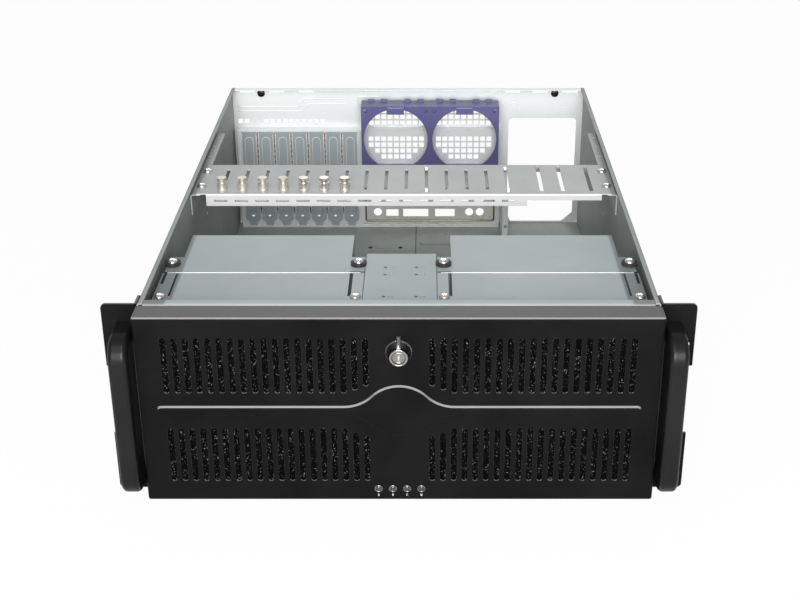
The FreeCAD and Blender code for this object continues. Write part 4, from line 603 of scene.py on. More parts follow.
@dataclass(frozen=True)
class Foam(Finish):
    """Open-cell black foam: pits from cell noise at two scales, smoother cell walls and glints
    painted into the colour on them.
    """

    colour: Colour
    painted_glint_colour: Colour
    cell: float = 0.0018

    def _walls(self, tree: Tree, scale: float, reach: float) -> Socket:
        """Add cell noise and keep the walls between its cells.

        Args:
            tree: the material's tree.
            scale: cells per metre.
            reach: distance from the middle of a cell boundary at which the boundary ends, in cells.

        Returns:
            A mask that is 1 on a cell boundary.
        """
        cells = tree.add("ShaderNodeTexVoronoi", Scale=scale, feature="DISTANCE_TO_EDGE")
        tree.join(tree.place(), cells.inputs["Vector"])
        return tree.span(cells.outputs["Distance"], 0.02, reach, 1.0, 0.0)

    def _fill(self, tree: Tree, shader: Node) -> None:
        """Join the foam's nodes to the shader.

        Args:
            tree: the material's tree.
            shader: the Principled node.
        """
        walls = self._walls(tree, 1.0 / self.cell, 0.12)
        fine = self._walls(tree, 2.3 / self.cell, 0.25)
        # Painted glints: sparse spots on the cell walls take the light painted_glint_colour.
        spark = tree.span(tree.noise(tree.place(), Scale=700.0, Detail=2.0), 0.6, 0.66)
        glint = tree.math("MULTIPLY", walls, spark)
        tree.join(tree.blend(glint, self.colour, self.painted_glint_colour), shader.inputs["Base Color"])
        tree.join(tree.span(walls, 0.0, 1.0, 0.8, 0.4), shader.inputs["Roughness"])
        shader.inputs["Specular IOR Level"].default_value = 0.08
        height = tree.math("ADD", walls, tree.math("MULTIPLY", fine, 0.5))
        bump(tree, shader, height, 0.9, 0.0012)


class Finishes:
    """Every finish: by the record's slot name, and four more that only added pieces have."""

    ALL: Dict[str, Finish] = {
        "floor_zinc": ZincSheet("floor zinc", (0.37, 0.395, 0.375), (0.25, 0.272, 0.26), Grain.ALONG,
                                metallic=0.3, roughness=0.5, stains=0.35),
        # Deck: painted shade on its front-facing folds and on its side strips.
        "plate_zinc": ZincSheet("deck zinc with painted shade", (0.348, 0.39, 0.395), (0.31, 0.352, 0.357), Grain.ACROSS,
                                metallic=0.2, roughness=0.45, grain_depth=0.15,
                                painted_front_tone=0.2, shade_border=0.1885),
        # Painted light: the galvanised sheet raised to near white, as the rear panel's lit inner face
        # looks; the press lines and hems drawn in it share it.
        "bright_zinc": ZincSheet("zinc with painted light", (0.8, 0.82, 0.82), (0.66, 0.69, 0.69), Grain.NONE,
                                 metallic=0.15, roughness=0.36),
        # Hold-down bar: painted light on its front-facing lip.
        "bar_zinc": ZincSheet("bar zinc with painted light", (0.4, 0.415, 0.415), (0.33, 0.345, 0.345), Grain.ACROSS,
                              metallic=0.2, roughness=0.42, grain_depth=0.15, painted_front_tone=0.6),
        "cover_zinc": ZincSheet("cover zinc", (0.42, 0.46, 0.475), (0.34, 0.38, 0.4), Grain.NONE,
                                metallic=0.15, roughness=0.34),
        "shield_steel": ZincSheet("shield steel", (0.74, 0.74, 0.71), (0.5, 0.5, 0.48), Grain.NONE,
                                  metallic=0.15, roughness=0.36, stains=0.4),
        # Door coat: painted highlight on up-facing slopes and painted light on flat tops.
        "black_coat": BlackCoat("black coat with painted light", (0.003, 0.003, 0.0034), (0.05, 0.049, 0.048),
                                roughness=0.36, gloss=0.07, painted_slope_highlight=0.22, painted_top_light=0.12),
        "handle_black": BlackCoat("handle coat", (0.0045, 0.0045, 0.005), (0.05, 0.05, 0.05),
                                  roughness=0.3, depth=0.12, wear_and_highlight=0.35, gloss=0.2),
        "nickel": Plated("nickel", (0.8, 0.78, 0.73), (0.6, 0.58, 0.54), roughness=0.28),
        "clamp_nickel": Plated("clamp nickel", (0.88, 0.85, 0.78), (0.68, 0.65, 0.58), roughness=0.4),
        "dark_screw": Plated("black zinc", (0.05, 0.05, 0.052), (0.03, 0.03, 0.03), roughness=0.35),
        "lock_metal": Plated("lock metal", (0.33, 0.32, 0.31), (0.22, 0.215, 0.21), roughness=0.2),
        "black_rubber": Moulded("black rubber", (0.012, 0.012, 0.012), (0.02, 0.02, 0.02), roughness=0.6),
        "black_plastic": Moulded("black plastic", (0.016, 0.016, 0.018), (0.026, 0.026, 0.028)),
        "blue_plastic": Moulded("fan bracket plastic", (0.08, 0.076, 0.2), (0.105, 0.1, 0.235),
                                roughness=0.38),
        "lamp_lens": Moulded("lamp lens", (0.07, 0.072, 0.075), (0.05, 0.052, 0.055), roughness=0.12,
                             depth=0.05, transmission=0.35),
        "polished": Plated("polished chrome", (0.42, 0.41, 0.39), (0.3, 0.29, 0.28), roughness=0.12),
        "copper": Plated("contact copper", (0.3, 0.17, 0.11), (0.2, 0.11, 0.075), roughness=0.4),
        "spring_brass": Plated("spring brass", (0.34, 0.27, 0.17), (0.2, 0.16, 0.1), roughness=0.35),
        "print": Moulded("white print", (0.7, 0.7, 0.7), (0.6, 0.6, 0.6), roughness=0.6, depth=0.02),
        # Foam whose light spots are painted glints.
        "filter_foam": Foam("filter foam with painted glints", (0.0008, 0.0008, 0.0009), (0.36, 0.36, 0.36)),
    }
    _built: Dict[str, bpy.types.Material] = {}

    @classmethod
    def get(cls, slot: str) -> bpy.types.Material:
        """Return the material of a finish, built on first use.

        Args:
            slot: the finish's name, which is mostly a slot of the record.

        Returns:
            The material.
        """
        if slot not in cls._built:
            cls._built[slot] = cls.ALL[slot].build()
        return cls._built[slot]


# ---- Mesh building


def path_of(x: object, y: object, z: object) -> Array:
    """Return the points (x, y, z), where each is an array or one number for all of them."""
    return np.stack(np.broadcast_arrays(x, y, z), axis=-1)


def axis_points(along: Array, across: Array, up: Array, axis: str) -> Array:
    """Return points whose third local coordinate, up, runs along the axis "X", "Y" or "Z"."""
    order = {"X": (up, along, across), "Y": (along, up, across), "Z": (along, across, up)}[axis]
    return path_of(*order)


def new_piece(name: str, mesh: bpy.types.Mesh, slot: str, body: str, finish: str = "") -> Piece:
    """Make a piece of a mesh, dress it and let it ride on its body.

    Args:
        name: the piece's name.
        mesh: its mesh.
        slot: the record's material slot.
        body: the CAD body that it moves with.
        finish: another finish than the slot's own.

    Returns:
        The piece.
    """
    mesh.materials.append(Finishes.get(finish or slot))
    piece = bpy.data.objects.new(name, mesh)
    bpy.context.scene.collection.objects.link(piece)
    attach(piece, body)
    return piece


class Mesher:
    """Collects surfaces and makes one finished piece of them."""

    def __init__(self) -> None:
        """Start with no surface."""
        self.points: List[Array] = []
        self.faces: List[Array] = []
        self.count = 0

    def add_grid(self, points: Array, wrap_u: bool = False, wrap_v: bool = False) -> None:
        """Add a surface given on a grid of two parameters.

        Face (i, j) joins points (i, j), (i+1, j), (i+1, j+1) and (i, j+1), with the
        indices taken modulo the grid's size in a direction that wraps.

        Args:
            points: array of n by m by 3.
            wrap_u: whether the first parameter closes on itself.
            wrap_v: whether the second parameter closes on itself.
        """
        rows, columns = points.shape[:2]
        i = np.arange(rows if wrap_u else rows - 1)[:, None]
        j = np.arange(columns if wrap_v else columns - 1)[None, :]
        i_next, j_next = (i + 1) % rows, (j + 1) % columns
        corners = [i * columns + j, i_next * columns + j, i_next * columns + j_next, i * columns + j_next]
        faces = np.stack(np.broadcast_arrays(*corners), axis=-1).reshape(-1, 4)
        self.points.append(points.reshape(-1, 3))
        self.faces.append(faces + self.count)
        self.count += rows * columns

    def add_slab(self, front: Array, back: Array) -> None:
        """Add a closed slab between two sheets on the same grid, joined along their borders.

        Args:
            front: array of n by m by 3.
            back: array of the same shape.
        """
        self.add_grid(front)
        self.add_grid(back)
        for edge in (lambda g: g[0], lambda g: g[-1], lambda g: g[:, 0], lambda g: g[:, -1]):
            self.add_grid(np.stack([edge(front), edge(back)]))

    def add_lathe(self, profile: Sequence[Tuple[float, float]], place: Tuple[float, float],
                  axis: str = "Z", segments: int = 48,
                  ripple: Optional[Callable[[Array], Array]] = None) -> None:
        """Turn a profile of (radius, height) about an axis: (r cos t, r sin t, h).

        Args:
            profile: radius and height along the axis of each ring.
            place: where the axis crosses its two other coordinates.
            axis: the axis's name.
            segments: steps of the angle t.
            ripple: function of t that is added to every radius above zero.
        """
        radius, height = np.array(profile, float).T
        angle = np.linspace(0.0, 2.0 * np.pi, segments, endpoint=False)
        reach = np.repeat(radius[:, None], segments, axis=1)
        if ripple is not None:
            reach = reach + (radius > 1e-6)[:, None] * ripple(angle)[None, :]
        along = place[0] + reach * np.cos(angle)
        across = place[1] + reach * np.sin(angle)
        self.add_grid(axis_points(along, across, height[:, None], axis), wrap_v=True)

    def add_tube(self, path: Array, section: Array, side: Sequence[float],
                 closed: bool = False) -> None:
        """Carry a closed section along a path.

        Point (i, j) = path_i + section_j0 * side_i + section_j1 * (tangent_i x side_i), with
        side_i the given direction made square to the tangent.

        Args:
            path: array of n by 3.
            section: array of m by 2, in order round the section.
            side: direction that the section's first coordinate is nearest to.
            closed: whether the path closes on itself.
        """
        if closed:
            tangent = np.roll(path, -1, axis=0) - np.roll(path, 1, axis=0)
        else:
            tangent = np.gradient(path, axis=0)
        tangent /= np.linalg.norm(tangent, axis=1, keepdims=True)
        first = np.array(side, float)[None, :] - tangent * (tangent @ np.array(side, float))[:, None]
        first /= np.linalg.norm(first, axis=1, keepdims=True)
        second = np.cross(tangent, first)
        points = (path[:, None, :] + section[None, :, 0:1] * first[:, None, :]
                  + section[None, :, 1:2] * second[:, None, :])
        self.add_grid(points, wrap_u=closed, wrap_v=True)
        if not closed:
            for end in (points[0], points[-1]):
                middle = np.repeat(end.mean(axis=0)[None, :], end.shape[0], axis=0)
                self.add_grid(np.stack([end, middle]), wrap_v=True)

    def add_wire(self, path: Array, radius: float, count: int = 8, side: Point = AXIS_Y,
                 closed: bool = False) -> None:
        """Carry a round section along a path. The side is a direction that is never along it."""
        self.add_tube(path, ring(radius, count), side, closed)

    def build(self, name: str, slot: str, body: str, crease: float = 35.0, finish: str = "") -> Piece:
        """Make the piece: merge doubles, turn faces out, dress it and ride it on its body.

        Args:
            name: the piece's name.
            slot: the record's material slot that it takes its finish from.
            body: the CAD body that it moves with.
            crease: angle in degrees above which an edge stays sharp.
            finish: another finish than the slot's own.

        Returns:
            The piece.
        """
        mesh = bpy.data.meshes.new(name)
        mesh.from_pydata(np.concatenate(self.points).tolist(), [], np.concatenate(self.faces).tolist())
        work = bmesh.new()
        work.from_mesh(mesh)
        bmesh.ops.remove_doubles(work, verts=work.verts, dist=1e-6)
        bmesh.ops.dissolve_degenerate(work, edges=work.edges, dist=1e-7)
        bmesh.ops.recalc_face_normals(work, faces=work.faces)
        work.to_mesh(mesh)
        work.free()
        mesh.shade_smooth()
        mesh.set_sharp_from_angle(angle=math.radians(crease))
        return new_piece(name, mesh, slot, body, finish)


def ring(radius: float, count: int = 10) -> Array:
    """Return a round section: radius * (cos t, sin t)."""
    angle = np.linspace(0.0, 2.0 * np.pi, count, endpoint=False)
    return radius * np.stack([np.cos(angle), np.sin(angle)], axis=-1)


def circle(x: float, y: float, z: float, radius: float, steps: int) -> Array:
    """Return a circle about the Y axis, (x + R cos t, y, z + R sin t)."""
    turn = np.linspace(0.0, 2.0 * np.pi, steps, endpoint=False)
    return path_of(x + radius * np.cos(turn), y, z + radius * np.sin(turn))


def rounded_outline(width: float, height: float, corner: float, steps: int = 6) -> Array:
    """Return a rounded rectangle about the origin.

    Each corner k turns by a quarter: centre_k + corner * (cos t, sin t).

    Args:
        width: full width.
        height: full height.
        corner: corner radius.
        steps: points of each corner.

    Returns:
        Array of 4 * steps by 2.
    """
    angle = (np.arange(4)[:, None] * 0.5 * np.pi + np.linspace(0.0, 0.5 * np.pi, steps)[None, :])
    sign_u = np.array([1, -1, -1, 1])[:, None]
    sign_v = np.array([1, 1, -1, -1])[:, None]
    u = sign_u * (width / 2 - corner) + corner * np.cos(angle)
    v = sign_v * (height / 2 - corner) + corner * np.sin(angle)
    return np.stack([u.ravel(), v.ravel()], axis=-1)


def solids_of(node: str, axis: str) -> List[Tuple[Array, Array]]:
    """Return the box of each separate solid of a CAD node, from left to right.

    The node's points are sorted along each axis in turn and split wherever two neighbours
    are further apart than one solid's own points ever are.

    Args:
        node: the CAD node's name.
        axis: the axis that the solids are turned about, along which points lie further apart.

    Returns:
        A list of (lowest corner, highest corner).
    """
    mesh = frame["nodes"][node].data
    points = np.empty(len(mesh.vertices) * 3)
    mesh.vertices.foreach_get("co", points)
    points = points.reshape(-1, 3)
    groups = [points]
    for index, name in enumerate("XYZ"):
        gap = LONG_GAP if name == axis else CROSS_GAP
        split = []
        for group in groups:
            ordered = group[np.argsort(group[:, index])]
            breaks = np.flatnonzero(np.diff(ordered[:, index]) > gap) + 1
            split.extend(np.split(ordered, breaks))
        groups = split
    return [(group.min(axis=0), group.max(axis=0)) for group in groups]


# ---- Fasteners

FLANGE = ((0.86, 1.0), (0.95, 0.72), (1.0, 0.42), (1.0, 0.1), (0.98, 0.0))


@dataclass
class CrossScrew:
    """Pan-head screw with a rolled flange and a cross recess.

    FLANGE holds the flange's corners, as shares of the head's radius and of its edge's height.
    """

    head: float = 4.6 * MM
    rise: float = 2.8 * MM
    shank: float = 1.9 * MM
    recess_half: float = 0.62 * MM
    recess_reach: float = 2.3 * MM
    recess_depth: float = 1.5 * MM
    side_slope: float = 1.6
    end_slope: float = 4.0
    rings: int = 14
    segments: int = 48

    def _dome(self, share: object) -> object:
        """Return the bare top's height at a share s of the radius: rise * (1 - 0.45 s^2.6)."""
        return self.rise * (1.0 - 0.45 * share ** 2.6)

    def add_to(self, mesher: Mesher, place: Tuple[float, float], seat: float, tip: float,
               axis: str) -> None:
        """Add one screw.

        The top is the dome less the cross, which is depth times a smooth step of
        min(|x|, |y|) over the arm's half width and of max(|x|, |y|) over its reach.

        Args:
            mesher: where the surfaces go.
            place: where the axis crosses its two other coordinates.
            seat: where the head rests.
            tip: the far end of the shank.
            axis: the axis's name.
        """
        side = 1.0 if seat > tip else -1.0
        crown_share = FLANGE[0][0]
        radius = np.linspace(0.0, self.head * crown_share, self.rings)[:, None]
        angle = np.linspace(0.0, 2.0 * np.pi, self.segments, endpoint=False)[None, :]
        x, y = radius * np.cos(angle), radius * np.sin(angle)
        near, far = np.minimum(abs(x), abs(y)), np.maximum(abs(x), abs(y))
        arm = np.clip(self.side_slope - near / self.recess_half, 0.0, 1.0)
        arm = arm * np.clip(self.end_slope - self.end_slope * far / self.recess_reach, 0.0, 1.0)
        height = self._dome(radius / self.head) - self.recess_depth * arm
        mesher.add_grid(axis_points(place[0] + x, place[1] + y, seat + side * height, axis), wrap_v=True)
        edge = side * self._dome(crown_share)
        profile = [(self.head * width, seat + edge * share) for width, share in FLANGE]
        profile += [(self.shank, seat), (self.shank, tip), (0.0, tip)]
        mesher.add_lathe(profile, place, axis, self.segments)


@dataclass
class Fasteners:
    """Cage, deck, bar, slot and rear screws, in the places of their CAD solids."""

    screw: CrossScrew = field(default_factory=CrossScrew)
    upright: Sequence[str] = ("cage_screws", "deck_screws", "bar_screws", "slot_screws")

    def _set(self, node: str, slot: str, axis: str) -> Piece:
        """Make the detailed screws that stand for a node's plain ones.

        Args:
            node: the CAD node's name.
            slot: its material slot.
            axis: "Z" for heads that point up, "Y" for heads that point to the front.

        Returns:
            The screws, as one piece.
        """
        mesher = Mesher()
        for low, high in solids_of(node, axis):
            x, y, z = (low + high) / 2
            if axis == "Z":
                self.screw.add_to(mesher, (x, y), high[2] - self.screw.rise, low[2], axis)
            else:
                self.screw.add_to(mesher, (x, z), low[1] + self.screw.rise, high[1], axis)
        piece = mesher.build(node + "_detailed", slot, "chassis")
        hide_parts(node)
        return piece

    def build(self) -> Pieces:
        """Return every set of screws."""
        made = [self._set(node, "nickel", "Z") for node in self.upright]
        return made + [self._set("rear_screws", "dark_screw", "Y")]


# ---- Clamps and filters


@dataclass
class Clamps:
    """Knurling of the sliding card clamps."""

    count: int = 7
    ribs: int = 26
    knob: float = 4.8 * MM
    cap: float = 4.6 * MM
    knob_rise: float = 6.2 * MM
    neck_rise: float = 1.4 * MM
    cap_rise: float = 3.6 * MM
    tooth: float = 0.34 * MM
    bevel: float = 0.45 * MM
    end_gap: float = 0.1 * MM

    def _ripple(self, angle: Array) -> Array:
        """Return knurl height: tooth * (0.5 + 0.5 cos(ribs t)) to the power 0.6."""
        return self.tooth * (0.5 + 0.5 * np.cos(self.ribs * angle)) ** 0.6

    def _sleeve(self, mesher: Mesher, place: Tuple[float, float], radius: float, foot: float,
                head: float) -> None:
        """Add one knurled sleeve with bevelled ends, a little shorter than its knob.

        Args:
            mesher: where the surfaces go.
            place: the knob's centre.
            radius: the bare knob's radius.
            foot: height of the knob's lower end.
            head: height of its upper end.
        """
        low, high = foot + self.end_gap, head - self.end_gap
        inner = radius - self.bevel
        profile = [(inner, low), (radius, low + self.bevel), (radius, high - self.bevel), (inner, high)]
        mesher.add_lathe(profile, place, "Z", self.ribs * 6, self._ripple)

    def build(self) -> Pieces:
        """Make the knurled sleeves.

        Returns:
            One piece for each clamp.
        """
        pieces = []
        for index in range(1, self.count + 1):
            low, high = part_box("card_clamp_%d" % index)
            place = ((low.x + high.x) / 2, (low.y + high.y) / 2)
            cap_foot = high.z - self.cap_rise
            knob_foot = cap_foot - self.neck_rise - self.knob_rise
            mesher = Mesher()
            self._sleeve(mesher, place, self.knob, knob_foot, knob_foot + self.knob_rise)
            self._sleeve(mesher, place, self.cap, cap_foot, high.z)
            pieces.append(mesher.build("clamp_knurling_%d" % index, "clamp_nickel",
                                       "clamp_%d" % index, 50.0))
        return pieces


@dataclass
class Filters:
    """Two slabs of open-cell foam behind the door's vents."""

    step: float = 1.1 * MM
    pit: float = 1.3 * MM
    narrowing: float = 1.5
    fade_steps: float = 3.0
    seed: int = 20

    def _fade(self, count: int) -> Array:
        """Return min(1, steps to the nearer end / fade_steps) for a row of points."""
        steps = np.arange(count)
        return np.minimum(1.0, np.minimum(steps, steps[::-1]) / self.fade_steps)

    def _slab(self, name: str, node: str) -> Piece:
        """Make one foam slab.

        Each face is y(x, z) = y0 -/+ pit * n(x, z), where n is a seeded random field from 0 to 1,
        raised to narrowing so that narrow pits part broad cell walls, and faded at the borders.

        Args:
            name: the piece's name.
            node: the plain CAD slab that it stands for.

        Returns:
            The slab.
        """
        low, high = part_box(node)
        columns = int((high.x - low.x) / self.step)
        rows = int((high.z - low.z) / self.step)
        draw = np.random.default_rng(self.seed)
        x, z = np.meshgrid(np.linspace(low.x, high.x, columns), np.linspace(low.z, high.z, rows),
                           indexing="ij")
        fade = self._fade(columns)[:, None] * self._fade(rows)[None, :]
        front = low.y + self.pit * (draw.random(x.shape) ** self.narrowing) * fade
        back = high.y - self.pit * (draw.random(x.shape) ** self.narrowing) * fade
        mesher = Mesher()
        mesher.add_slab(axis_points(x, z, front, "Y"), axis_points(x, z, back, "Y"))
        piece = mesher.build(name, "filter_foam", "front_door", SMOOTH)
        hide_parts(node)
        return piece

    def build(self) -> Pieces:
        """Return both filters."""
        return [self._slab("foam_" + side, "foam_filter_" + side) for side in ("left", "right")]


# ---- Door


@dataclass
class DoorTrim:
    """Rims and numbers of the lamps in the door's lower edge."""

    face_depth: float = 1.3 * MM
    lamp_rim: float = 3.05 * MM
    rim_stand: float = 0.75 * MM
    rim_section: float = 0.45 * MM
    digit_height: float = 3.4 * MM
    digit_drop: float = 7.9 * MM
    digit_depth: float = 0.06 * MM

    def _face(self) -> float:
        """Return the Y of the door's flat face, behind its raised band."""
        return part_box("door")[0].y + self.face_depth

    def _lamps(self) -> List[Vector]:
        """Return the middle of each lamp, from left to right."""
        return [Vector((low + high) / 2) for low, high in solids_of("indicator_lamps", "Y")]

    def rims(self) -> Piece:
        """Make the four bright rims about the lamps.

        Returns:
            The rims, as one piece.
        """
        mesher = Mesher()
        for middle in self._lamps():
            path = circle(middle.x, self._face() - self.rim_stand, middle.z, self.lamp_rim, 40)
            mesher.add_wire(path, self.rim_section, 10, closed=True)
        return mesher.build("lamp_rims", "lock_metal", "front_door", SMOOTH)

    def numbers(self) -> Piece:
        """Make plain numbers 1 to 4, printed under the lamps.

        Returns:
            The numbers, as one piece.
        """
        joined = bmesh.new()
        for index, middle in enumerate(self._lamps()):
            curve = bpy.data.curves.new("number", type="FONT")
            curve.body = str(index + 1)
            curve.size = self.digit_height
            curve.extrude = self.digit_depth
            curve.align_x = "CENTER"
            holder = bpy.data.objects.new("number", curve)
            mesh = bpy.data.meshes.new_from_object(holder)
            place = (middle.x, self._face(), middle.z - self.digit_drop)
            mesh.transform(Matrix.Translation(place) @ Matrix.Rotation(math.radians(90.0), 4, "X"))
            joined.from_mesh(mesh)
            bpy.data.objects.remove(holder)
            bpy.data.meshes.remove(mesh)
        mesh = bpy.data.meshes.new("lamp_numbers")
        joined.to_mesh(mesh)
        joined.free()
        return new_piece("lamp_numbers", mesh, "lamp_lens", "front_door", "print")

    def build(self) -> Pieces:
        """Return the rims and the numbers."""
        return [self.rims(), self.numbers()]


@dataclass
class LockTrim:
    """Polished rings and the rounded ridge of the door lock."""

    fin_top: float = 15.0 * MM
    reach: float = 11.0 * MM
    face_ring: float = 6.9 * MM
    face_section: float = 0.6 * MM
    face_depth: float = 0.5 * MM
    foot_ring: float = 9.9 * MM
    foot_section: float = 0.5 * MM
    foot_rise: float = 1.9 * MM
    barrel_ring: float = 4.4 * MM
    barrel_section: float = 0.45 * MM
    barrel_depth: float = 0.1 * MM
    ridge_width: float = 2.1 * MM
    ridge_flatness: float = 0.62
    ridge_shares: Sequence[float] = (0.0, 0.75, 1.0)
    ridge_depths: Sequence[float] = (8.8 * MM, 1.6 * MM, 1.3 * MM)
    ridge_heights: Sequence[float] = (14.5 * MM, 9.0 * MM, 7.0 * MM)
    steps: int = 48

    def _add_ring(self, mesher: Mesher, radius: float, y: float, section: float) -> None:
        """Add a ring about the lock's axis, at a place y along it."""
        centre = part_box("lock_body")[1].z - self.fin_top
        mesher.add_wire(circle(0.0, y, centre, radius, self.steps), section, 10, closed=True)

    def build(self) -> Pieces:
        """Make the rings and the ridge of the body, and the ring of the core.

        Returns:
            The two pieces.
        """
        low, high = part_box("lock_body")
        body = Mesher()
        self._add_ring(body, self.face_ring, low.y + self.face_depth, self.face_section)
        self._add_ring(body, self.foot_ring, low.y + self.reach - self.foot_rise, self.foot_section)
        share = np.linspace(0.0, 1.0, 14)
        y = low.y + np.interp(share, self.ridge_shares, self.ridge_depths)
        z = high.z - self.fin_top + np.interp(share, self.ridge_shares, self.ridge_heights)
        section = ring(self.ridge_width, 12) * np.array([1.0, self.ridge_flatness])
        body.add_tube(path_of(0.0, y, z), section, AXIS_X)
        core = Mesher()
        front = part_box("lock_barrel")[0].y
        self._add_ring(core, self.barrel_ring, front + self.barrel_depth, self.barrel_section)
        return [body.build("lock_body_trim", "lock_metal", "front_door", SMOOTH, "polished"),
                core.build("lock_core_ring", "lock_metal", "lock_core", SMOOTH, "polished")]


# ---- Rear panel

PRESS_LINES = (
    ((-206.0, 153.7), (-132.6, 153.7), (-124.0, 163.6), (-75.0, 163.6)),
    ((-206.0, 148.0), (-128.0, 148.0), (-119.0, 157.5), (-75.0, 157.5)),
    ((-60.0, 152.0), (-60.0, 166.0), (-34.0, 166.0)),
)
PRESS_DIMPLES = ((-186.0, 136.5), (-50.0, 171.0), (127.0, 157.0), (134.0, 149.5), (190.0, 150.0),
                 (105.0, 133.0))


@dataclass
class RearDetail:
    """Contact springs between the slot covers and the shield's sprung rim."""

    gap_count: int = 6
    spring_width: float = 1.3 * MM
    spring_depth: float = 1.3 * MM
    thickness: float = 0.15 * MM
    tooth: float = 0.35 * MM
    bulge: float = 0.3 * MM
    wave_step: float = 1.1 * MM
    low: float = 20.0 * MM
    high: float = 126.0 * MM
    rows: int = 120
    rim_section: float = 0.9 * MM
    rim_inset: float = 3.2 * MM
    rim_corner: float = 2.5 * MM
    rim_depth: float = 0.7 * MM

    def springs(self) -> Piece:
        """Make the copper contact strips.

        With w = z / wave_step their edges are x = middle -/+ (width / 2 - tooth * sin(w)), and
        they bulge by bulge * cos(w).

        Returns:
            The strips, as one piece.
        """
        mesher = Mesher()
        height = np.linspace(self.low, self.high, self.rows)
        wave = self.tooth * np.sin(height / self.wave_step)
        half = self.spring_width / 2
        for index in range(1, self.gap_count + 1):
            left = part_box("slot_cover_%d" % index)
            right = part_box("slot_cover_%d" % (index + 1))
            middle = (left[1].x + right[0].x) / 2
            x = np.stack([middle - half + wave, middle + half - wave])
            y = left[0].y + self.spring_depth + self.bulge * np.cos(height / self.wave_step)
            mesher.add_slab(axis_points(x, height, y, "Y"), axis_points(x, height, y + self.thickness, "Y"))
        return mesher.build("slot_contact_springs", "nickel", "chassis", finish="copper")

    def shield_rim(self) -> Piece:
        """Make the sprung rim round the connector shield, a rounded-rectangle loop.

        Returns:
            The rim.
        """
        low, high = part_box("io_shield")
        outline = rounded_outline(high.x - low.x - self.rim_inset, high.z - low.z - self.rim_inset,
                                  self.rim_corner)
        path = path_of((low.x + high.x) / 2 + outline[:, 0], low.y + self.rim_depth,
                       (low.z + high.z) / 2 + outline[:, 1])
        mesher = Mesher()
        mesher.add_wire(path, self.rim_section, closed=True)
        return mesher.build("shield_rim", "shield_steel", "chassis", finish="spring_brass")

    def build(self) -> Pieces:
        """Return the springs and the rim."""
        return [self.springs(), self.shield_rim()]


@dataclass
class RearPresses:
    """Pressed lines of the slot covers and of the rear panel's inner face.

    PRESS_LINES and PRESS_DIMPLES hold X and Z on the panel, in millimetres.
    """

    cover_count: int = 7
    emboss_half: float = 4.9 * MM
    emboss_low: float = 22.0 * MM
    emboss_drop: float = 6.5 * MM
    emboss_depth: float = 0.15 * MM
    line: float = 0.42 * MM
    edge_half: float = 8.8 * MM
    edge_depth: float = 0.5 * MM
    edge_low: float = 12.0 * MM
    edge_high: float = 2.0 * MM
    panel_gauge: float = 1.15 * MM
    panel_line: float = 0.7 * MM
    dimple: float = 1.9 * MM
    dimple_line: float = 0.6 * MM

    def cover_lines(self) -> Piece:
        """Make each cover's arched press line and its two long edges, in the near-white bright_zinc
        finish as painted highlight lines on the darker cover.

        Returns:
            The lines, as one piece.
        """
        mesher = Mesher()
        turn = np.linspace(np.pi, 0.0, 12)
        half, foot = self.emboss_half, self.emboss_low
        across = np.concatenate([[-half], half * np.cos(turn), [half]])
        for index in range(1, self.cover_count + 1):
            low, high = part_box("slot_cover_%d" % index)
            x, face = (low.x + high.x) / 2, low.y + self.emboss_depth
            top = high.z - self.emboss_drop - half
            rise = np.concatenate([[foot], top + half * np.sin(turn), [foot]])
            mesher.add_wire(path_of(x + across, face, rise), self.line)
            for side in (-self.edge_half, self.edge_half):
                rise = np.linspace(low.z + self.edge_low, high.z - self.edge_high, 8)
                mesher.add_wire(path_of(x + side, face + self.edge_depth, rise), self.line)
        # Painted highlight: the lines take the near-white bright_zinc finish.
        return mesher.build("cover_press_highlight_lines", "bright_zinc", "chassis", SMOOTH)

    def panel_lines(self) -> Piece:
        """Make the stepped press lines and round dimples of the rear panel's upper face.

        Returns:
            The lines, as one piece.
        """
        mesher = Mesher()
        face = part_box("rear_panel")[1].y - self.panel_gauge
        for steps in PRESS_LINES:
            corners = np.array(steps) * MM
            share = np.linspace(0.0, len(corners) - 1.0, 40)
            x, z = (np.interp(share, np.arange(len(corners)), column) for column in corners.T)
            mesher.add_wire(path_of(x, face, z), self.panel_line)
        for x, z in PRESS_DIMPLES:
            mesher.add_wire(circle(x * MM, face, z * MM, self.dimple, 24), self.dimple_line, closed=True)
        return mesher.build("rear_press_lines", "bright_zinc", "chassis", SMOOTH)

    def build(self) -> Pieces:
        """Return the press lines of the covers and of the panel."""
        return [self.cover_lines(), self.panel_lines()]


# ---- Sheets inside the case

HEX_COLUMNS = (22.2 * MM, 103.5 * MM)
HEX_ROWS = (9.0 * MM, 67.5 * MM)
PAD_COLUMNS = ((37.5 * MM, 47.0 * MM), (89.0 * MM, 46.0 * MM))
PAD_BACKS = (36.0 * MM, 74.0 * MM)
NUT_PLACES = (-45.0, -9.0, -120.0)
NUT_PROFILE = ((0.0, 0.5), (1.0, 0.55), (1.6, 1.0), (1.9, 1.5), (2.4, 1.5), (2.7, 1.25), (1.7, 0.4),
               (0.0, 0.3))
TONGUE_COLUMNS = (-13.5, 13.5)
TONGUE_ROWS = (35.0, 77.0, 91.0)


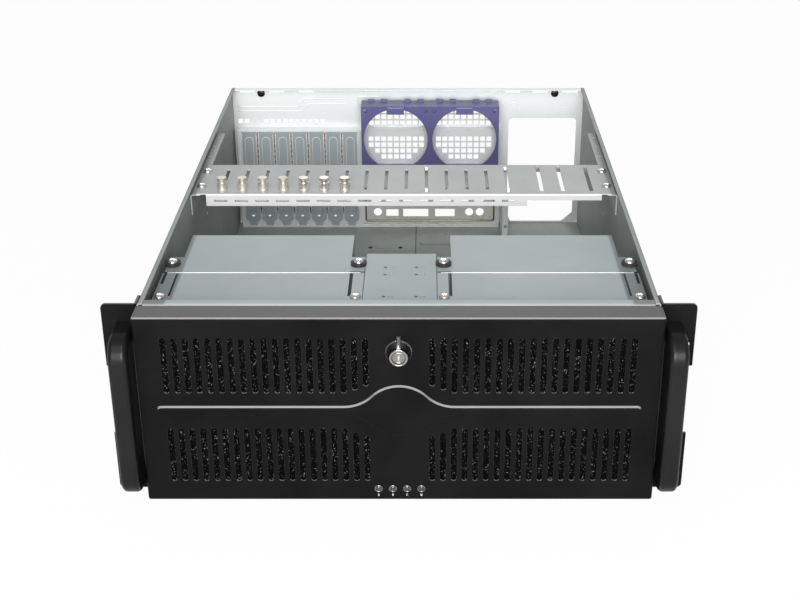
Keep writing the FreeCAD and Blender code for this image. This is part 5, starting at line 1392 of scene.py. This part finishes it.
@dataclass
class SheetDetail:
    """Small pressed and folded features of the steel sheets, with painted highlight on the cage hems
    and painted shadow lines behind the floor's stampings.

    The hexagon screws stand on the hold-down bar at HEX_COLUMNS, as far behind its front as
    HEX_ROWS say. PAD_COLUMNS hold middle and width of the floor's stampings, and PAD_BACKS how
    far their far edges are from the rear panel.
    """

    hem: float = 0.45 * MM
    hem_inset: float = 3.0 * MM
    cage_top_at: float = 78.8 * MM
    # Radius of the painted shadow lines.
    shadow_line: float = 0.5 * MM
    floor_top: float = 1.25 * MM
    pad_length: float = 24.0 * MM
    pad_corner: float = 6.0 * MM
    hex_flat: float = 2.3 * MM
    hex_rise: float = 1.5 * MM
    hex_washer: float = 0.3 * MM
    hex_shares: Sequence[float] = (0.9, 0.75, 1.35)

    def cage_hems(self) -> Piece:
        """Make the rounded front edges of the cage tops, a seam behind the deck's strips, in the
        near-white bright_zinc finish as painted highlight.

        Returns:
            The edges, as one piece.
        """
        mesher = Mesher()
        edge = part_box("cage_left")[0].y + self.cage_top_at
        for side in ("cage_left", "cage_right"):
            low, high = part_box(side)
            x = np.linspace(low.x + self.hem_inset, high.x - self.hem_inset, 12)
            mesher.add_wire(path_of(x, edge, high.z), self.hem, 12, AXIS_Z)
        # Painted highlight: the hems take the near-white bright_zinc finish.
        return mesher.build("cage_edge_hems_painted_highlight", "bright_zinc", "chassis", SMOOTH)

    def pad_shadow_lines(self) -> Piece:
        """Make dark lines at the far edges of the floor's stampings: painted shadow, where shade falls
        behind each stamping.

        Returns:
            The lines, as one piece.
        """
        mesher = Mesher()
        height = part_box("chassis_tub")[0].z + self.floor_top
        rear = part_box("rear_panel")[1].y
        for middle, width in PAD_COLUMNS:
            outline = rounded_outline(width, self.pad_length, self.pad_corner)
            upper = outline[outline[:, 1] > 0.0]
            upper = upper[np.argsort(upper[:, 0])]
            for back in PAD_BACKS:
                y = rear - back - self.pad_length / 2 + upper[:, 1]
                mesher.add_wire(path_of(middle + upper[:, 0], y, height), self.shadow_line, 8, AXIS_Z)
        # Painted shadow: thin wires in the black dark_screw finish.
        return mesher.build("floor_pad_shadow_lines", "dark_screw", "chassis", SMOOTH)

    def bar_hex_screws(self) -> Piece:
        """Make the small hexagon screws at both ends of two bar slots.

        Returns:
            The screws, as one piece.
        """
        mesher = Mesher()
        low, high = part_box("card_bar")
        top, shoulder, foot = self.hex_shares
        flat, rise, washer = self.hex_flat, self.hex_rise, self.hex_flat * foot
        corners = ((0.0, rise), (flat * top, rise), (flat, rise * shoulder), (flat, self.hex_washer),
                   (washer, self.hex_washer), (washer, 0.0), (0.0, 0.0))
        profile = [(radius, high.z + height) for radius, height in corners]
        for x in HEX_COLUMNS:
            for row in HEX_ROWS:
                mesher.add_lathe(profile, (x, low.y + row), "Z", 6)
        return mesher.build("bar_hex_screws", "nickel", "chassis", 20.0)

    def build(self) -> Pieces:
        """Return every sheet detail."""
        return [self.cage_hems(), self.pad_shadow_lines(), self.bar_hex_screws()]


@dataclass
class PlateDetail:
    """Seam and clinch nuts of the floor, and the lances beside the tongue's holes.

    NUT_PLACES, NUT_PROFILE, TONGUE_COLUMNS and TONGUE_ROWS are in millimetres. Rows count from
    the case's front.
    """

    case_depth: float = 565.0 * MM
    seam_at: float = 9.5 * MM
    seam_from: float = 270.0 * MM
    seam_rest: float = 8.0 * MM
    seam: float = 0.4 * MM
    floor_top: float = 1.2 * MM
    nut_row: float = 488.0 * MM
    lance: float = 0.55 * MM
    lance_span: Tuple[float, float] = (3.4, 7.4)

    def _front(self) -> float:
        """Return the Y of the case's front."""
        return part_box("rear_panel")[1].y - self.case_depth

    def seam_line(self) -> Piece:
        """Make the dark seam that runs along the floor.

        Returns:
            The seam.
        """
        mesher = Mesher()
        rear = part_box("rear_panel")[1].y
        y = np.linspace(self._front() + self.seam_from, rear - self.seam_rest, 24)
        mesher.add_wire(path_of(self.seam_at, y, self.floor_top), self.seam, 8, AXIS_X)
        return mesher.build("floor_seam_line", "dark_screw", "chassis", SMOOTH)

    def clinch_nuts(self) -> Piece:
        """Make the dark clinch nuts in the floor's holes, lathed about Z.

        Returns:
            The nuts, as one piece.
        """
        mesher = Mesher()
        profile = [(radius * MM, height * MM) for radius, height in NUT_PROFILE]
        for x in NUT_PLACES:
            mesher.add_lathe(profile, (x * MM, self._front() + self.nut_row), "Z", 24)
        return mesher.build("floor_clinch_nuts", "dark_screw", "chassis", 30.0)

    def tongue_lances(self) -> Piece:
        """Make the short bright lances to the right of the tongue's holes.

        Returns:
            The lances, as one piece.
        """
        mesher = Mesher()
        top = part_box("front_deck")[1].z
        for x in TONGUE_COLUMNS:
            start, end = (x + self.lance_span[0]) * MM, (x + self.lance_span[1]) * MM
            for row in TONGUE_ROWS:
                path = path_of(np.linspace(start, end, 6), self._front() + row * MM, top)
                mesher.add_wire(path, self.lance, 8, AXIS_Z)
        return mesher.build("tongue_lances", "plate_zinc", "chassis", SMOOTH)

    def build(self) -> Pieces:
        """Return the seam, the nuts and the lances."""
        return [self.seam_line(), self.clinch_nuts(), self.tongue_lances()]


ASSEMBLIES = (Fasteners(), Clamps(), Filters(), DoorTrim(), RearDetail(), SheetDetail(),
              LockTrim(), RearPresses(), PlateDetail())


# ---- Studio


@dataclass(frozen=True)
class Lamp:
    """One square soft lamp."""

    name: str
    at: Point
    towards: Point
    size: float
    watts: float

    def build(self) -> None:
        """Add the lamp, turned to what it faces."""
        light = bpy.data.lights.new(self.name, "AREA")
        light.size = self.size
        light.energy = self.watts
        holder = bpy.data.objects.new(self.name, light)
        holder.location = self.at
        direction = Vector(self.towards) - Vector(self.at)
        holder.rotation_euler = direction.to_track_quat("-Z", "Y").to_euler()
        bpy.context.scene.collection.objects.link(holder)


LAMPS = (
    Lamp("front", (0.0, -2.2, 0.85), (0.0, 0.0, 0.1), 1.2, 69.0),
    Lamp("high", (-0.2, -1.35, 1.95), (0.0, -0.1, 0.1), 1.0, 12.0),
    Lamp("back", (0.0, 2.6, 1.5), (0.0, 0.0, 0.15), 1.6, 9.0),
)
WHITE = (1.0, 1.0, 1.0, 1.0)


@dataclass
class Studio:
    """Pale floor, soft lamps, white surround and the camera."""

    floor_reach: float = 12.0
    floor_drop: float = 0.0005
    floor_tone: float = 0.8
    floor_roughness: float = 0.9
    floor_glow: float = 0.95
    surround: float = 0.42
    camera_at: Point = (0.0222, -1.2007, 0.6621)
    camera_tilt: float = 24.0
    focal: float = 58.86
    sensor: float = 36.0
    shift: Tuple[float, float] = (-0.033, -0.09)

    def build_world(self) -> None:
        """White where the camera sees it, and a plain soft light elsewhere."""
        world = bpy.data.worlds.new("Surround")
        bpy.context.scene.world = world
        world.use_nodes = True
        tree = Tree(world.node_tree)
        background = world.node_tree.nodes["Background"]
        background.inputs["Color"].default_value = WHITE
        strength = tree.span(tree.camera_ray(), 0.0, 1.0, self.surround, 1.0)
        tree.join(strength, background.inputs["Strength"])

    def build_floor(self) -> None:
        """Add the floor, which glows to the camera and keeps a little of the object's shadow."""
        reach = self.floor_reach
        mesh = bpy.data.meshes.new("studio_floor")
        corners = [(-reach, -reach, 0.0), (reach, -reach, 0.0), (reach, reach, 0.0), (-reach, reach, 0.0)]
        mesh.from_pydata(corners, [], [(0, 1, 2, 3)])
        floor = bpy.data.objects.new("studio_floor", mesh)
        floor.location.z = -self.floor_drop
        bpy.context.scene.collection.objects.link(floor)
        material, tree, shader = new_material("studio floor")
        shader.inputs["Base Color"].default_value = (self.floor_tone,) * 3 + (1.0,)
        shader.inputs["Roughness"].default_value = self.floor_roughness
        glow = tree.add("ShaderNodeEmission")
        glow.inputs["Color"].default_value = WHITE
        mix = tree.add("ShaderNodeMixShader")
        tree.join(tree.math("MULTIPLY", tree.camera_ray(), self.floor_glow), mix.inputs[0])
        tree.join(shader.outputs[0], mix.inputs[1])
        tree.join(glow.outputs[0], mix.inputs[2])
        tree.join(mix.outputs[0], material.node_tree.nodes["Material Output"].inputs["Surface"])
        mesh.materials.append(material)

    def build_camera(self) -> None:
        """Set the camera at the viewing angle, in front of the case and above it."""
        lens = bpy.data.cameras.new("camera")
        lens.lens = self.focal
        lens.sensor_width = self.sensor
        lens.shift_x, lens.shift_y = self.shift
        camera = bpy.data.objects.new("camera", lens)
        camera.location = self.camera_at
        camera.rotation_euler = (math.radians(90.0 - self.camera_tilt), 0.0, 0.0)
        bpy.context.scene.collection.objects.link(camera)
        bpy.context.scene.camera = camera

    def build(self) -> None:
        """Make the whole studio."""
        self.build_world()
        self.build_floor()
        for lamp in LAMPS:
            lamp.build()
        self.build_camera()
        bpy.context.scene.view_settings.view_transform = "Standard"


def dress_cad_nodes() -> None:
    """Give every CAD node the finish of its slot."""
    for part in frame["record"]["subparts"]:
        node = frame["nodes"][part["node"]]
        node.data.materials.clear()
        node.data.materials.append(Finishes.get(part["material_slot"]))


def main() -> None:
    """Build the looks sub-assembly by sub-assembly."""
    logging.basicConfig(level=logging.INFO)
    dress_cad_nodes()
    for assembly in ASSEMBLIES:
        for piece in assembly.build():
            LOG.info("built %s", piece.name)
    Studio().build()


if __name__ == "__main__":
    main()
